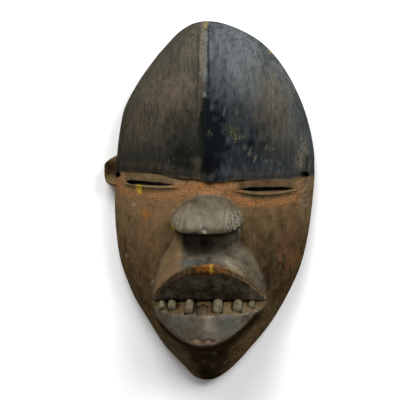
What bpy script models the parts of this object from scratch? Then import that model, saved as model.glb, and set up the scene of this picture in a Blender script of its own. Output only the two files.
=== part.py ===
"""A dan mask: one carved wooden shell with slit eyes, a block nose and a pouting mouth, and six peg teeth.

The mask lies face up on the flat rim of its hollow back: +Y runs to the crown, +X to the image's right
and +Z out of the face. Carving is given in shares, so that it follows the overall sizes: along the face
a share v runs from -1 at the chin to 1 at the crown, across it a share u of the half width runs from the
carved midline, and a height h is a share of the depth. Walls, holes and pegs are lengths in metres.
"""

import math

import bmesh
import bpy
import numpy as np
from mathutils import Matrix, Vector

# Overall sizes, in metres
HEIGHT = 0.255
FACE_WIDTH = 0.1405
DEPTH = 0.086
HALF_HEIGHT = HEIGHT / 2
HALF_WIDTH = FACE_WIDTH / 2

# The shell: rim at the sides and at the two tips, wall, and the straight edge that the face rises from
RIM_WIDTH = 0.009
TIP_RIM_WIDTH = 0.0104
WALL = 0.010
EDGE = 0.008
HOLLOW_EDGE = 0.0005

# The ear lug left on one side: its outline as shares of its reach and of half its height
LUG_LEVEL = 0.165
LUG_REACH = 0.0080
LUG_HEIGHT = 0.023
LUG_THICKNESS = 0.016
LUG_LIFT = 0.003
LUG_ROOT = 0.007
LUG_OUTLINE = ((0.0, 1.0), (0.92, 0.50), (1.0, 0.30), (0.98, -0.35), (0.78, -0.80), (0.09, -1.0))

# The tie holes: their level, and how far in from the left and the right edge
TIE_HOLE_LEVEL = 0.145
TIE_HOLE_DIAMETER = 0.0036
TIE_HOLE_INSETS = (0.0029, 0.0058)

# The eye slits
SLIT_HEIGHT = 0.0027
SLIT_DEPTH = 0.024
SLIT_STATIONS = 9

# The pegs lie half sunk in the top of the lower lip, and run into the wood under the palate
PEG_SOCKET = 0.004
PEG_TIP_ROUNDING = 0.35
CLEARANCE = 0.0003
PEG_SIDES = 12
PEGS = (  # share across the face, diameter, length that shows
    (-0.468, 0.0040, 0.0108),
    (-0.362, 0.0056, 0.0122),
    (-0.185, 0.0063, 0.0198),
    (0.096, 0.0073, 0.0190),
    (0.287, 0.0066, 0.0152),
    (0.422, 0.0046, 0.0090),
)

# The empty bed of the lost tooth: its tip and shoulders as shares of the slope that it is cut in
LOST_TOOTH_ACROSS = -0.053
LOST_TOOTH_WIDTH = 0.0085
LOST_TOOTH_DEPTH = 0.0015
LOST_TOOTH_TIP = 0.20
LOST_TOOTH_SHOULDER = 0.36
LOST_TOOTH_FOOT = 1.15

# Fineness: the columns of the face as shares of the way from the midline to the edge of its raised
# middle, and from there to the outline, and the rows and columns of the hollow
INNER_COLUMNS = (0.0, 0.08, 0.17, 0.30, 0.46, 0.60, 0.74, 0.87, 0.965, 1.0)
OUTER_COLUMNS = 11
FIRST_OUTER_COLUMN = 0.05
OUTER_EVENNESS = 0.45
WIDEST_CENTRE = 0.84
HOLLOW_ROWS = 20
HOLLOW_COLUMNS = 18
ROUND_SIDES = 16
CUT_PAST = 0.004

# The middle line of the outline along v, how far the carved features stray from it, and each side's
# fullness against an ellipse
MIDDLE_LINE = ((-1.0, -0.075), (-0.8, -0.018), (0.1, -0.010), (0.8, -0.085), (1.0, -0.079))
FEATURE_DRIFT = ((-1.0, 0.0), (-0.62, -0.010), (-0.45, -0.010), (-0.13, -0.040), (0.08, 0.0), (1.0, 0.0))
LEFT_FULLNESS = (
    (-1.0, 0.72),
    (-0.95, 0.66),
    (-0.81, 0.83),
    (-0.68, 0.872),
    (-0.52, 0.955),
    (-0.28, 1.005),
    (0.48, 1.006),
    (0.66, 0.93),
    (0.80, 0.845),
    (0.90, 0.805),
    (1.0, 0.83),
)
RIGHT_FULLNESS = (
    (-1.0, 0.58),
    (-0.85, 0.64),
    (-0.70, 0.78),
    (-0.52, 0.88),
    (-0.35, 0.945),
    (0.0, 0.998),
    (0.3, 1.07),
    (0.6, 1.135),
    (0.88, 1.18),
    (1.0, 1.05),
)

# How square the face is across, how full its arch, and how late it falls off at chin and crown
FACE_SQUARENESS = 2.4
FACE_ARCH = 0.55
DOME_SQUARENESS = 2.2
DOME_ARCH = 0.56
END_SQUARENESS = 9

# Heights along the midline: the plain face, and the domed forehead above the brow
FACE_HEIGHTS = (
    (-1.0, 0.20),
    (-0.93, 0.32),
    (-0.80, 0.52),
    (-0.64, 0.61),
    (-0.40, 0.62),
    (-0.10, 0.65),
    (0.10, 0.69),
    (1.0, 0.69),
)
FOREHEAD_HEIGHTS = (
    (0.0, 0.705),
    (0.12, 0.725),
    (0.32, 0.785),
    (0.48, 0.79),
    (0.64, 0.725),
    (0.80, 0.59),
    (0.92, 0.42),
    (1.0, 0.26),
)

# The raised line down the forehead, with a shallow valley at each side, and the keel of the chin
RIDGE_HEIGHT = 0.018
RIDGE_HALF_WIDTH = 0.050
RIDGE_SLOPE = 0.026
VALLEY_DEPTH = 0.012
VALLEY_PLACE = 0.062
VALLEY_WIDTH = 0.03
KEEL_HEIGHT = 0.03
KEEL_HALF_WIDTH = 0.09
KEEL_TOP = -0.84
KEEL_RUN = 0.04

# The raised middle of the face, its half width along v: chin, mouth, muzzle, nose, bridge and forehead
MOUTH_HALF_WIDTH = 0.575
CENTRE_WIDTHS = (
    (-1.0, 0.10),
    (-0.90, 0.32),
    (-0.80, MOUTH_HALF_WIDTH),
    (-0.522, MOUTH_HALF_WIDTH),
    (-0.458, 0.562),
    (-0.390, 0.527),
    (-0.324, 0.475),
    (-0.243, 0.375),
    (-0.192, 0.328),
    (-0.160, 0.342),
    (-0.125, 0.354),
    (-0.083, 0.335),
    (-0.007, 0.225),
    (0.036, 0.12),
    (0.075, 0.18),
    (0.13, 0.30),
    (1.0, 0.30),
)

# The nose: its heights from the flat underside up to the bridge, and its lower, rounded wings
NOSE_BOTTOM = -0.185
NOSE_TOP = 0.044
NOSE_HALF_WIDTH = 0.354
NOSE_HEIGHTS = (
    (NOSE_BOTTOM, 0.960),
    (-0.16, 0.980),
    (-0.10, 0.950),
    (-0.045, 0.880),
    (0.0, 0.79),
    (NOSE_TOP, 0.69),
)
NOSE_SQUARENESS = 5
NOSE_CORNER_RISE = 0.055
NOSE_CORNER_SHARPNESS = 4
NOSE_FLAT = 0.17
NOSE_WING_DROP = 0.085
NOSE_WING_RUN = 0.08
MUZZLE_TOP = -0.150

# The lines of the mouth: the straight row of the teeth, and how far the others lie above and below it,
# at the corners and then in the middle. The lower lip hangs a little to one side.
TOOTH_LINE = -0.543
TOOTH_LINE_SAG = 0.004
LEDGE_RISE = 0.004
LIP_EDGE_CORNER = 0.010
LIP_EDGE_RISE = 0.185
LIP_EDGE_ARCH = 2.3
LIP_EDGE_WIDTH = 0.036
LIP_EDGE_THINNEST = 0.15
LIP_EDGE_THINNING = 0.8
LOWER_LIP_CORNER = 0.010
LOWER_LIP_TOP = 0.066
LOWER_LIP_SQUARENESS = 8
LOWER_LIP_THINNEST = 0.008
LOWER_LIP_DROP = 0.226
LOWER_LIP_SKEW = 0.045
UNDER_LIP_DROP = 0.014
CHIN_TOP_DROP = 0.060

# How high the lines of the mouth stand: at the middle, and how much lower at the corners
MUZZLE_HEIGHTS = (0.66, 0.11)
UPPER_LIP_HEIGHTS = (1.0, 0.37)
TOOTH_LINE_HEIGHTS = (0.70, 0.165)
LOWER_LIP_HEIGHTS = (0.955, 0.355)
MUZZLE_HOLLOW = 3.0
LIP_ROUNDING = 0.035
LEDGE_HEIGHT = 0.055
LOWER_LIP_FALL = 0.06
UNDER_LIP_FALL = 0.19

# The brow along u: high and level on the left, dipping to the midline, then level and rising again
BROW_LINE = (
    (-1.0, 0.158),
    (-0.60, 0.151),
    (-0.50, 0.144),
    (-0.38, 0.127),
    (-0.28, 0.1205),
    (-0.14, 0.117),
    (0.0, 0.095),
    (0.10, 0.097),
    (0.22, 0.110),
    (0.70, 0.1135),
    (0.80, 0.118),
    (0.95, 0.138),
    (1.1, 0.143),
)
STEP = 0.003

# The eye slits: each one's v at the midline with its slope along u, and how the two lines blend
EYE_LINES = ((0.070, -0.039), (0.057, 0.011))
EYE_BLEND = 0.28
EYE_SPANS = ((-0.865, -0.335), (0.265, 0.83))
LID_REACH = 0.035
LID_SWELLING = 0.036
LID_HALF_HEIGHT = 0.052
LID_OVERRUN = 0.62
LID_LIFT = 0.006
LID_FLATNESS = 0.7


def curve_through(points):
    """Return a smooth curve through (place, value) points that never overshoots them."""
    place, value = np.array(points).T
    step = np.diff(place)
    rise = np.diff(value) / step
    same_way = rise[:-1] * rise[1:] > 0
    total = np.where(same_way, rise[:-1] + rise[1:], 1.0)
    inner = np.where(same_way, 2 * rise[:-1] * rise[1:] / total, 0.0)
    slope = np.concatenate(([rise[0]], inner, [rise[-1]]))

    def at(x):
        i = np.clip(np.searchsorted(place, x, side="right") - 1, 0, len(step) - 1)
        t = np.clip((x - place[i]) / step[i], 0.0, 1.0)
        start = (1 + 2 * t) * (1 - t) ** 2 * value[i] + t * (1 - t) ** 2 * step[i] * slope[i]
        end = t * t * (3 - 2 * t) * value[i + 1] - t * t * (1 - t) * step[i] * slope[i + 1]
        return start + end

    return at


middle_line = curve_through(MIDDLE_LINE)
feature_drift = curve_through(FEATURE_DRIFT)
left_fullness = curve_through(LEFT_FULLNESS)
right_fullness = curve_through(RIGHT_FULLNESS)
face_height = curve_through(FACE_HEIGHTS)
forehead_height = curve_through(FOREHEAD_HEIGHTS)
centre_width = curve_through(CENTRE_WIDTHS)
nose_height = curve_through(NOSE_HEIGHTS)
brow = curve_through(BROW_LINE)


def smooth_step(x):
    """Rise smoothly from 0 at x = 0 to 1 at x = 1."""
    t = np.clip(x, 0.0, 1.0)
    return t * t * (3 - 2 * t)


def midline(v):
    """The carved midline at v, as a share of the half width."""
    return middle_line(v) + feature_drift(v)


def side_width(u, v):
    """Half width of the face at v on the side that u lies on, measured from the carved midline."""
    fullness = np.where(u < 0, left_fullness(v), right_fullness(v))
    drift = np.where(u < 0, feature_drift(v), -feature_drift(v))
    return fullness * np.sqrt(np.clip(1 - v * v, 0.0, 1.0)) + drift


def mouth_share(u, skew=0.0):
    """How far out u lies between the middle of the mouth, moved by a skew, and its corner."""
    return np.clip(np.abs(u + skew) / MOUTH_HALF_WIDTH, 0.0, 1.0)


def eye_line(u):
    """The line of the eye slits: the left one slants down towards the nose and the right one is level."""
    left, right = (level + slope * u for level, slope in EYE_LINES)
    return left + (right - left) * smooth_step((u + EYE_BLEND) / (2 * EYE_BLEND))


def nose_bottom(u):
    """The lower edge of the nose, with its corners rounded up."""
    out = np.clip(np.abs(u) / NOSE_HALF_WIDTH, 0.0, 1.2)
    return NOSE_BOTTOM + NOSE_CORNER_RISE * out**NOSE_CORNER_SHARPNESS


def muzzle_top(u):
    """The upper edge of the muzzle, where it leaves the cheeks."""
    levels = np.linspace(TOOTH_LINE, MUZZLE_TOP, 60)
    widths = np.minimum.accumulate(centre_width(levels))
    return np.interp(np.abs(u), widths[::-1], levels[::-1])


def lip_edge(u):
    """The arched front edge of the upper lip."""
    return TOOTH_LINE + LIP_EDGE_CORNER + LIP_EDGE_RISE * (1 - mouth_share(u) ** LIP_EDGE_ARCH)


def lip_inner(u):
    """The inner edge of the upper lip, where the palate starts: its band thins towards the corners."""
    thinning = LIP_EDGE_THINNEST + (1 - LIP_EDGE_THINNEST) * (1 - mouth_share(u)) ** LIP_EDGE_THINNING
    return lip_edge(u) - LIP_EDGE_WIDTH * thinning


def ledge(u):
    """The foot of the palate, a small step above the line of the teeth."""
    return tooth_line(u) + LEDGE_RISE


def tooth_line(u):
    """The straight line at the bottom of the mouth, that the teeth stand on."""
    return TOOTH_LINE - TOOTH_LINE_SAG * mouth_share(u)


def lower_lip_front(u):
    """The front edge of the lower lip's top."""
    return TOOTH_LINE - LOWER_LIP_CORNER - LOWER_LIP_TOP * (1 - mouth_share(u) ** LOWER_LIP_SQUARENESS)


def lower_lip_bottom(u):
    """The lower edge of the lower lip's front."""
    drop = LOWER_LIP_DROP * (1 - mouth_share(u, LOWER_LIP_SKEW) ** 2)
    corner = TOOTH_LINE - LOWER_LIP_CORNER - LOWER_LIP_THINNEST
    return np.minimum(corner - drop, lower_lip_front(u) - LOWER_LIP_THINNEST)


def under_lip(u):
    """The line that the steep underside of the lower lip ends at."""
    return lower_lip_bottom(u) - UNDER_LIP_DROP


def chin_top(u):
    """The line that the hollow under the lower lip runs out at."""
    return lower_lip_bottom(u) - CHIN_TOP_DROP


def line_height(heights, u):
    """Height of a line of the mouth, which falls away from its middle to the corners."""
    middle, fall = heights
    return middle - fall * mouth_share(u) ** 2


def end_fall(v):
    """Fall from 1 along the face to 0 at chin and crown."""
    return np.sqrt(np.clip(1 - np.abs(v) ** END_SQUARENESS, 0.0, 1.0))


def plain_face(u, v):
    """The face without its features: a rounded shell that rises steeply from the straight edge."""
    edge = EDGE / DEPTH
    across = np.clip(np.abs(u) / np.maximum(side_width(u, v), 1e-6), 0.0, 1.0)
    return edge + (face_height(v) - edge) * end_fall(v) * (1 - across**FACE_SQUARENESS) ** FACE_ARCH


def forehead(u, v):
    """The dome above the brow: two lobes that meet at a raised line."""
    edge = EDGE / DEPTH
    across = np.clip(np.abs(u) / np.maximum(side_width(u, v), 1e-6), 0.0, 1.0)
    dome = edge + (forehead_height(v) - edge) * end_fall(v) * (1 - across**DOME_SQUARENESS) ** DOME_ARCH
    valley = VALLEY_DEPTH * np.exp(-(((np.abs(u) - VALLEY_PLACE) / VALLEY_WIDTH) ** 2))
    ridge = RIDGE_HEIGHT * smooth_step((RIDGE_HALF_WIDTH - np.abs(u)) / RIDGE_SLOPE)
    return dome + (ridge - valley) * end_fall(v)


def eyelids(u, v):
    """A low swelling along each eye slit."""
    swelling = 0.0
    for start, end in EYE_SPANS:
        along = (u - (start + end) / 2) / (LID_OVERRUN * (end - start))
        across = (v - eye_line(u) - LID_LIFT) / LID_HALF_HEIGHT
        inside = np.clip(1 - along**2 - across**2, 0.0, 1.0)
        swelling = swelling + LID_SWELLING * inside**LID_FLATNESS
    return swelling


def nose(u, v, face):
    """The nose block: a flat front between two lower, rounded wings."""
    wing = NOSE_WING_DROP * smooth_step((np.abs(u) - NOSE_FLAT) / NOSE_WING_RUN)
    across = np.clip(np.abs(u) / centre_width(v), 0.0, 1.0)
    block = face + (nose_height(v) - wing - face) * np.sqrt(1 - across**NOSE_SQUARENESS)
    shows = (v > nose_bottom(u)) & (v < NOSE_TOP)
    return np.where(shows, np.maximum(face, block), face)


def mouth(u, v, face):
    """The muzzle, palate and lower lip: slopes between the lines of the mouth, the muzzle's hollowed."""
    upper_lip = line_height(UPPER_LIP_HEIGHTS, u)
    lower_lip = line_height(LOWER_LIP_HEIGHTS, u)
    teeth = line_height(TOOTH_LINE_HEIGHTS, u)
    lines = (
        (muzzle_top, line_height(MUZZLE_HEIGHTS, u), MUZZLE_HOLLOW),
        (lip_edge, upper_lip, 1),
        (lip_inner, upper_lip - LIP_ROUNDING, 1),
        (ledge, teeth + LEDGE_HEIGHT, 1),
        (tooth_line, teeth, 1),
        (lower_lip_front, lower_lip, 1),
        (lower_lip_bottom, lower_lip - LOWER_LIP_FALL, 1),
        (under_lip, lower_lip - UNDER_LIP_FALL, 1),
        (chin_top, face, 1),
    )
    height = face
    for (upper, upper_height, bend), (lower, lower_height, _) in zip(lines[:-1], lines[1:]):
        top, bottom = upper(u), lower(u)
        share = (top - v) / np.maximum(top - bottom, 1e-6)
        inside = (share >= 0) & (share <= 1) & (np.abs(u) < 0.99 * centre_width(v))
        slope = upper_height + (lower_height - upper_height) * np.clip(share, 0.0, 1.0) ** bend
        height = np.where(inside, np.maximum(slope, face), height)
    return height


def chin_keel(u, v):
    """The low upright line down the middle of the chin."""
    across = smooth_step((KEEL_HALF_WIDTH - np.abs(u)) / KEEL_HALF_WIDTH)
    return KEEL_HEIGHT * across * smooth_step((KEEL_TOP - v) / KEEL_RUN)


def carved_height(u, v):
    """Height of the carved face at the shares u and v."""
    face = plain_face(u, v) + eyelids(u, v)
    face = face + chin_keel(u, v) * np.clip((1 - v * v) * 4, 0.0, 1.0)
    low = mouth(u, v, face)
    middle = nose(u, v, low)
    return np.where(v > brow(u), np.maximum(forehead(u, v), face), middle)


def hollow_height(v, across):
    """Height of the hollow's ceiling, in metres, a wall below the plain face."""
    middle = np.minimum(face_height(v), forehead_height(np.maximum(v, 0.0))) * DEPTH - WALL
    arch = (1 - across**FACE_SQUARENESS) ** FACE_ARCH
    return HOLLOW_EDGE + np.maximum(middle, WALL / 2) * end_fall(v) * arch


def row_lines():
    """The rows of the carved face from chin to crown, as functions of u, close together at its steps."""

    def level(v):
        return lambda u: v + 0.0 * u

    def above(line, offset):
        return lambda u: line(u) + offset

    def between(lower, upper, share):
        return lambda u: lower(u) + (upper(u) - lower(u)) * share

    def even(share):
        return share

    def close_to_chin(share):
        return share**1.8

    def close_to_crown(share):
        return 1 - (1 - share) ** 1.8

    spans = (
        (level(-1.0), chin_top, 9, close_to_chin),
        (chin_top, under_lip, 2, even),
        (under_lip, lower_lip_bottom, 1, even),
        (lower_lip_bottom, lower_lip_front, 4, even),
        (lower_lip_front, tooth_line, 3, even),
        (tooth_line, ledge, 1, even),
        (ledge, lip_inner, 4, even),
        (lip_inner, lip_edge, 1, even),
        (lip_edge, above(nose_bottom, -STEP), 6, even),
        (above(nose_bottom, -STEP), above(nose_bottom, STEP), 1, even),
        (above(nose_bottom, STEP), above(eye_line, -LID_REACH), 8, even),
        (above(eye_line, -LID_REACH), above(brow, -STEP), 5, even),
        (above(brow, -STEP), above(brow, STEP), 1, even),
        (above(brow, STEP), level(1.0), 18, close_to_crown),
    )
    rows = [spans[0][0]]
    for lower, upper, count, ease in spans:
        rows += [between(lower, upper, ease(k / count)) for k in range(1, count + 1)]
    return rows


def row_end(line, side):
    """Where a row meets the outline on one side: the u at which |u| is the face's half width."""
    near, far = 0.0, 1.3
    for _ in range(40):
        middle = (near + far) / 2
        u = np.array(side * middle)
        if middle < side_width(u, line(u)):
            near = middle
        else:
            far = middle
    return side * near


def centre_edge(line, end):
    """Where a row meets the edge of the raised middle, on the side of the row's end."""
    side = math.copysign(1.0, end)
    near, far = 0.0, WIDEST_CENTRE * abs(end)
    for _ in range(40):
        middle = (near + far) / 2
        if middle < centre_width(line(np.array(side * middle))):
            near = middle
        else:
            far = middle
    return side * near


def row_side(line, side):
    """The shares u of one row's columns, from the midline to the outline on one side."""
    end = row_end(line, side)
    edge = centre_edge(line, end)
    outward = np.linspace(0.0, 1.0, OUTER_COLUMNS)
    outward = OUTER_EVENNESS * outward + (1 - OUTER_EVENNESS) * np.sin(math.pi / 2 * outward)
    outward = FIRST_OUTER_COLUMN + (1 - FIRST_OUTER_COLUMN) * outward
    return np.concatenate((edge * np.array(INNER_COLUMNS), edge + (end - edge) * outward))


def left_edge(v):
    """The x of the rim's left edge at v, before the shape is centred."""
    return float((midline(v) - side_width(np.array(-1.0), np.array(v))) * HALF_WIDTH)


def right_edge(v):
    """The x of the rim's right edge at v, before the shape is centred."""
    return float((midline(v) + side_width(np.array(1.0), np.array(v))) * HALF_WIDTH)


def centre_shift():
    """How far the shape moves along X so that the lug's tip and the far edge lie equally far out."""
    widest = max(right_edge(v) for v in np.linspace(-0.5, 0.8, 261))
    return -(left_edge(LUG_LEVEL) - LUG_REACH + widest) / 2


CENTRE_SHIFT = centre_shift()


def place(u, v, height):
    """World point of the shares u and v at a height in metres."""
    x = (midline(v) + u) * HALF_WIDTH + CENTRE_SHIFT
    return np.stack([x, v * HALF_HEIGHT + 0.0 * u, height + 0.0 * u], axis=-1)


def make_object(name, points, faces, collection):
    """Make a mesh object of points and faces, its faces pointing outward."""
    mesh = bpy.data.meshes.new(name)
    mesh.from_pydata([tuple(map(float, p)) for p in points], [], faces)
    work = bmesh.new()
    work.from_mesh(mesh)
    bmesh.ops.recalc_face_normals(work, faces=work.faces)
    work.to_mesh(mesh)
    work.free()
    mesh.update()
    made = bpy.data.objects.new(name, mesh)
    collection.objects.link(made)
    return made


def closed_loft(name, tip_low, rows, tip_high, floor, collection):
    """Make a solid from rows of points between two tips, with its outer edge dropped to a flat floor."""
    row_count, column_count = len(rows), len(rows[0])
    points = [tip_low] + [p for row in rows for p in row] + [tip_high]

    def index(row, column):
        return 1 + row * column_count + column

    top = len(points) - 1
    faces = []
    for c in range(column_count - 1):
        faces.append((0, index(0, c + 1), index(0, c)))
        faces.append((top, index(row_count - 1, c), index(row_count - 1, c + 1)))
        for r in range(row_count - 1):
            faces.append((index(r, c), index(r, c + 1), index(r + 1, c + 1), index(r + 1, c)))
    left = [index(r, 0) for r in range(row_count)]
    right = [index(r, column_count - 1) for r in range(row_count)]
    ring = [0] + right + [top] + left[::-1]
    first = len(points)
    points += [(points[i][0], points[i][1], floor) for i in ring]
    for k, i in enumerate(ring):
        after = (k + 1) % len(ring)
        faces.append((i, first + k, first + after, ring[after]))
    faces.append(tuple(range(first, first + len(ring))))
    return make_object(name, points, faces, collection)


def carved_blank(collection):
    """The mask's outside as one solid on a flat base, before it is hollowed and cut."""
    lines = row_lines()[1:-1]
    rows = []
    for line in lines:
        u = np.concatenate((row_side(line, -1)[:0:-1], row_side(line, 1)))
        v = line(u)
        height = carved_height(u, v)
        height[[0, -1]] = EDGE / DEPTH
        rows.append(place(u, v, height * DEPTH))
    low = place(np.array(0.0), np.array(-1.0), EDGE)
    high = place(np.array(0.0), np.array(1.0), EDGE)
    return closed_loft("mask", low, rows, high, 0.0, collection)


def hollow_cutter(collection):
    """The hollow of the back, a rim's width inside the outline and a wall below the face."""
    reach = 1 - TIP_RIM_WIDTH / HALF_HEIGHT
    narrowing = 1 - RIM_WIDTH / HALF_WIDTH
    s = np.linspace(-1.0, 1.0, HOLLOW_COLUMNS + 1)
    spread = np.sin(math.pi / 2 * s)
    rows = []
    for turn in np.linspace(-math.pi / 2, math.pi / 2, HOLLOW_ROWS + 1)[1:-1]:
        outer_v = np.array(math.sin(turn))
        u = side_width(s, outer_v) * narrowing * spread
        v = reach * outer_v + 0.0 * u
        rows.append(place(u, v, hollow_height(v, np.abs(spread))))
    low = place(np.array(0.0), np.array(-reach), HOLLOW_EDGE)
    high = place(np.array(0.0), np.array(reach), HOLLOW_EDGE)
    return closed_loft("hollow_cutter", low, rows, high, -CUT_PAST, collection)


def prism_faces(count):
    """The faces of a prism whose two outlines of a number of points follow each other."""
    faces = [tuple(range(count))[::-1], tuple(range(count, 2 * count))]
    for k in range(count):
        after = (k + 1) % count
        faces.append((k, after, after + count, k + count))
    return faces


def prism(name, outline, low, high, collection):
    """Make an upright solid between two levels from an outline of (x, y) points."""
    points = [(x, y, z) for z in (low, high) for x, y in outline]
    return make_object(name, points, prism_faces(len(outline)), collection)


def eye_slit_cutter(name, start, end, collection):
    """A thin lens-shaped slot along the eye line, deep enough to reach the hollow."""
    stations = np.linspace(0.0, 1.0, SLIT_STATIONS + 2)[1:-1]
    points = [surface_point(start, eye_line(np.array(start)), 0.0)]
    for share in stations:
        u = start + (end - start) * share
        half = SLIT_HEIGHT / 2 * min(1.0, 4 * share, 4 * (1 - share)) / HALF_HEIGHT
        for offset in (-half, half):
            for lift in (-SLIT_DEPTH, SLIT_DEPTH):
                points.append(surface_point(u, eye_line(np.array(u)) + offset, lift))
    points.append(surface_point(end, eye_line(np.array(end)), 0.0))
    last = len(points) - 1
    around = (0, 1, 3, 2)
    faces = []
    for k in range(4):
        a, b = around[k], around[(k + 1) % 4]
        faces.append((0, 1 + a, 1 + b))
        for n in range(len(stations) - 1):
            base = 1 + 4 * n
            faces.append((base + a, base + 4 + a, base + 4 + b, base + b))
        faces.append((last, last - 4 + b, last - 4 + a))
    return make_object(name, points, faces, collection)


def surface_point(u, v, lift):
    """The point of the plain face at u and v, raised by a length."""
    u, v = np.array(float(u)), np.array(float(v))
    return place(u, v, plain_face(u, v) * DEPTH + lift)


def lug(collection):
    """The ear lug: a block with a slanted top and a rounded foot, rooted in the side of the face."""
    edge = left_edge(LUG_LEVEL) + CENTRE_SHIFT
    middle = LUG_LEVEL * HALF_HEIGHT
    half = LUG_HEIGHT / 2
    outline = [(edge - LUG_REACH * out, middle + half * up) for out, up in LUG_OUTLINE]
    outline = [(edge + LUG_ROOT, outline[0][1])] + outline + [(edge + LUG_ROOT, outline[-1][1])]
    return prism("lug", outline, LUG_LIFT, LUG_LIFT + LUG_THICKNESS, collection)


def cylinder(name, start, end, radius, sides, collection):
    """A closed cylinder between two points."""
    axis = Vector(end) - Vector(start)
    middle = (Vector(end) + Vector(start)) / 2
    turn = axis.to_track_quat("Z", "Y").to_matrix().to_4x4()
    mesh = bpy.data.meshes.new(name)
    work = bmesh.new()
    bmesh.ops.create_cone(
        work,
        cap_ends=True,
        segments=sides,
        radius1=radius,
        radius2=radius,
        depth=axis.length,
        matrix=Matrix.Translation(middle) @ turn,
    )
    work.to_mesh(mesh)
    work.free()
    made = bpy.data.objects.new(name, mesh)
    collection.objects.link(made)
    return made


def tie_holes(collection):
    """Upright cutters for the tie hole at each side, near the outer ends of the eyes."""
    y = TIE_HOLE_LEVEL * HALF_HEIGHT
    places = (
        left_edge(TIE_HOLE_LEVEL) + CENTRE_SHIFT + TIE_HOLE_INSETS[0],
        right_edge(TIE_HOLE_LEVEL) + CENTRE_SHIFT - TIE_HOLE_INSETS[1],
    )
    cutters = []
    for n, x in enumerate(places, start=1):
        start, end = (x, y, -CUT_PAST), (x, y, DEPTH)
        radius = TIE_HOLE_DIAMETER / 2
        cutters.append(cylinder(f"tie_hole_cutter_{n}", start, end, radius, ROUND_SIDES, collection))
    return cutters


def lip_slope(across):
    """The foot, direction and outward normal of the lower lip's top at a share across the face."""
    u = np.array(across)
    foot = Vector(place(u, tooth_line(u), line_height(TOOTH_LINE_HEIGHTS, u) * DEPTH))
    front = Vector(place(u, lower_lip_front(u), line_height(LOWER_LIP_HEIGHTS, u) * DEPTH))
    along = (front - foot).normalized()
    normal = Vector((1.0, 0.0, 0.0)).cross(along)
    if normal.z < 0:
        normal = -normal
    return foot, along, normal.normalized(), (front - foot).length


def peg_ends(across, shown):
    """The two ends of a peg's axis, which lies in the lip's top: in its socket and at its tip."""
    foot, along, _, _ = lip_slope(across)
    return foot - along * PEG_SOCKET, foot + along * shown


def peg(name, across, diameter, shown, collection):
    """A peg tooth with a rounded tip."""
    radius = diameter / 2
    start, end = peg_ends(across, shown)
    made = cylinder(name, start, end, radius, PEG_SIDES, collection)
    rounding = made.modifiers.new("rounded_ends", "BEVEL")
    rounding.width = radius * PEG_TIP_ROUNDING
    rounding.segments = 2
    rounding.limit_method = "ANGLE"
    return made


def socket_cutter(name, across, diameter, shown, collection):
    """The bed of a peg: its own shape with the clearance all round."""
    start, end = peg_ends(across, shown)
    along = (end - start).normalized() * CLEARANCE
    return cylinder(name, start - along, end + along, diameter / 2 + CLEARANCE, PEG_SIDES, collection)


def lost_tooth_cutter(collection):
    """A shallow bed where a tooth is missing: pointed at its upper end and open at the lip's front."""
    foot, along, normal, length = lip_slope(LOST_TOOTH_ACROSS)
    sideways = along.cross(normal) * LOST_TOOTH_WIDTH / 2
    shares = (LOST_TOOTH_TIP, LOST_TOOTH_SHOULDER, LOST_TOOTH_FOOT)
    tip, shoulder, end = (foot + along * length * share for share in shares)
    outline = (tip, shoulder + sideways, end + sideways, end - sideways, shoulder - sideways)
    lifts = (-LOST_TOOTH_DEPTH, 3 * LOST_TOOTH_DEPTH)
    points = [point + normal * lift for lift in lifts for point in outline]
    return make_object("lost_tooth_cutter", points, prism_faces(len(outline)), collection)


def combine(target, other, operation):
    """Cut another solid out of the target, or join it on, with a Boolean modifier."""
    cut = target.modifiers.new(other.name, "BOOLEAN")
    cut.operation = operation
    cut.solver = "EXACT"
    cut.object = other
    other.hide_render = True
    other.display_type = "WIRE"


def material(name, colour, roughness):
    """A plain wood material."""
    made = bpy.data.materials.new(name)
    made.use_nodes = True
    shader = made.node_tree.nodes["Principled BSDF"]
    shader.inputs["Base Color"].default_value = (*colour, 1.0)
    shader.inputs["Roughness"].default_value = roughness
    shader.inputs["Metallic"].default_value = 0.0
    return made


def build():
    """Build the mask and its six pegs."""
    for old in list(bpy.data.objects):
        bpy.data.objects.remove(old)
    parts = bpy.data.collections.new("dan_mask")
    cutters = bpy.data.collections.new("cutters")
    for collection in (parts, cutters):
        bpy.context.scene.collection.children.link(collection)

    mask = carved_blank(parts)
    combine(mask, lug(cutters), "UNION")
    combine(mask, hollow_cutter(cutters), "DIFFERENCE")
    for n, (start, end) in enumerate(EYE_SPANS, start=1):
        combine(mask, eye_slit_cutter(f"eye_slit_cutter_{n}", start, end, cutters), "DIFFERENCE")
    for hole in tie_holes(cutters):
        combine(mask, hole, "DIFFERENCE")
    combine(mask, lost_tooth_cutter(cutters), "DIFFERENCE")
    mask.data.materials.append(material("dark_wood", (0.055, 0.042, 0.034), 0.6))

    peg_wood = material("peg_wood", (0.23, 0.17, 0.11), 0.7)
    for n, (across, diameter, shown) in enumerate(PEGS, start=1):
        tooth = peg(f"tooth_{n}", across, diameter, shown, parts)
        tooth.data.materials.append(peg_wood)
        tooth.data.shade_smooth()
        tooth.data.set_sharp_from_angle(angle=math.radians(40))
        socket = socket_cutter(f"socket_cutter_{n}", across, diameter, shown, cutters)
        combine(mask, socket, "DIFFERENCE")


build()
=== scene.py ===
"""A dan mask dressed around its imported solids: worn carved wood, a blackened forehead and peg teeth.

Lengths are in metres and the frame is the solids' own: +Y runs to the crown, +X to the image's right and +Z
out of the face. Carving is given in shares, as in the solids: v along the face from -1 at the chin to 1 at
the crown, u across it from the carved midline in half widths, and a height is a share of the depth.
"""

import logging
import math
from collections.abc import Callable, Sequence
from dataclasses import dataclass
from enum import Enum
from functools import cached_property

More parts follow.
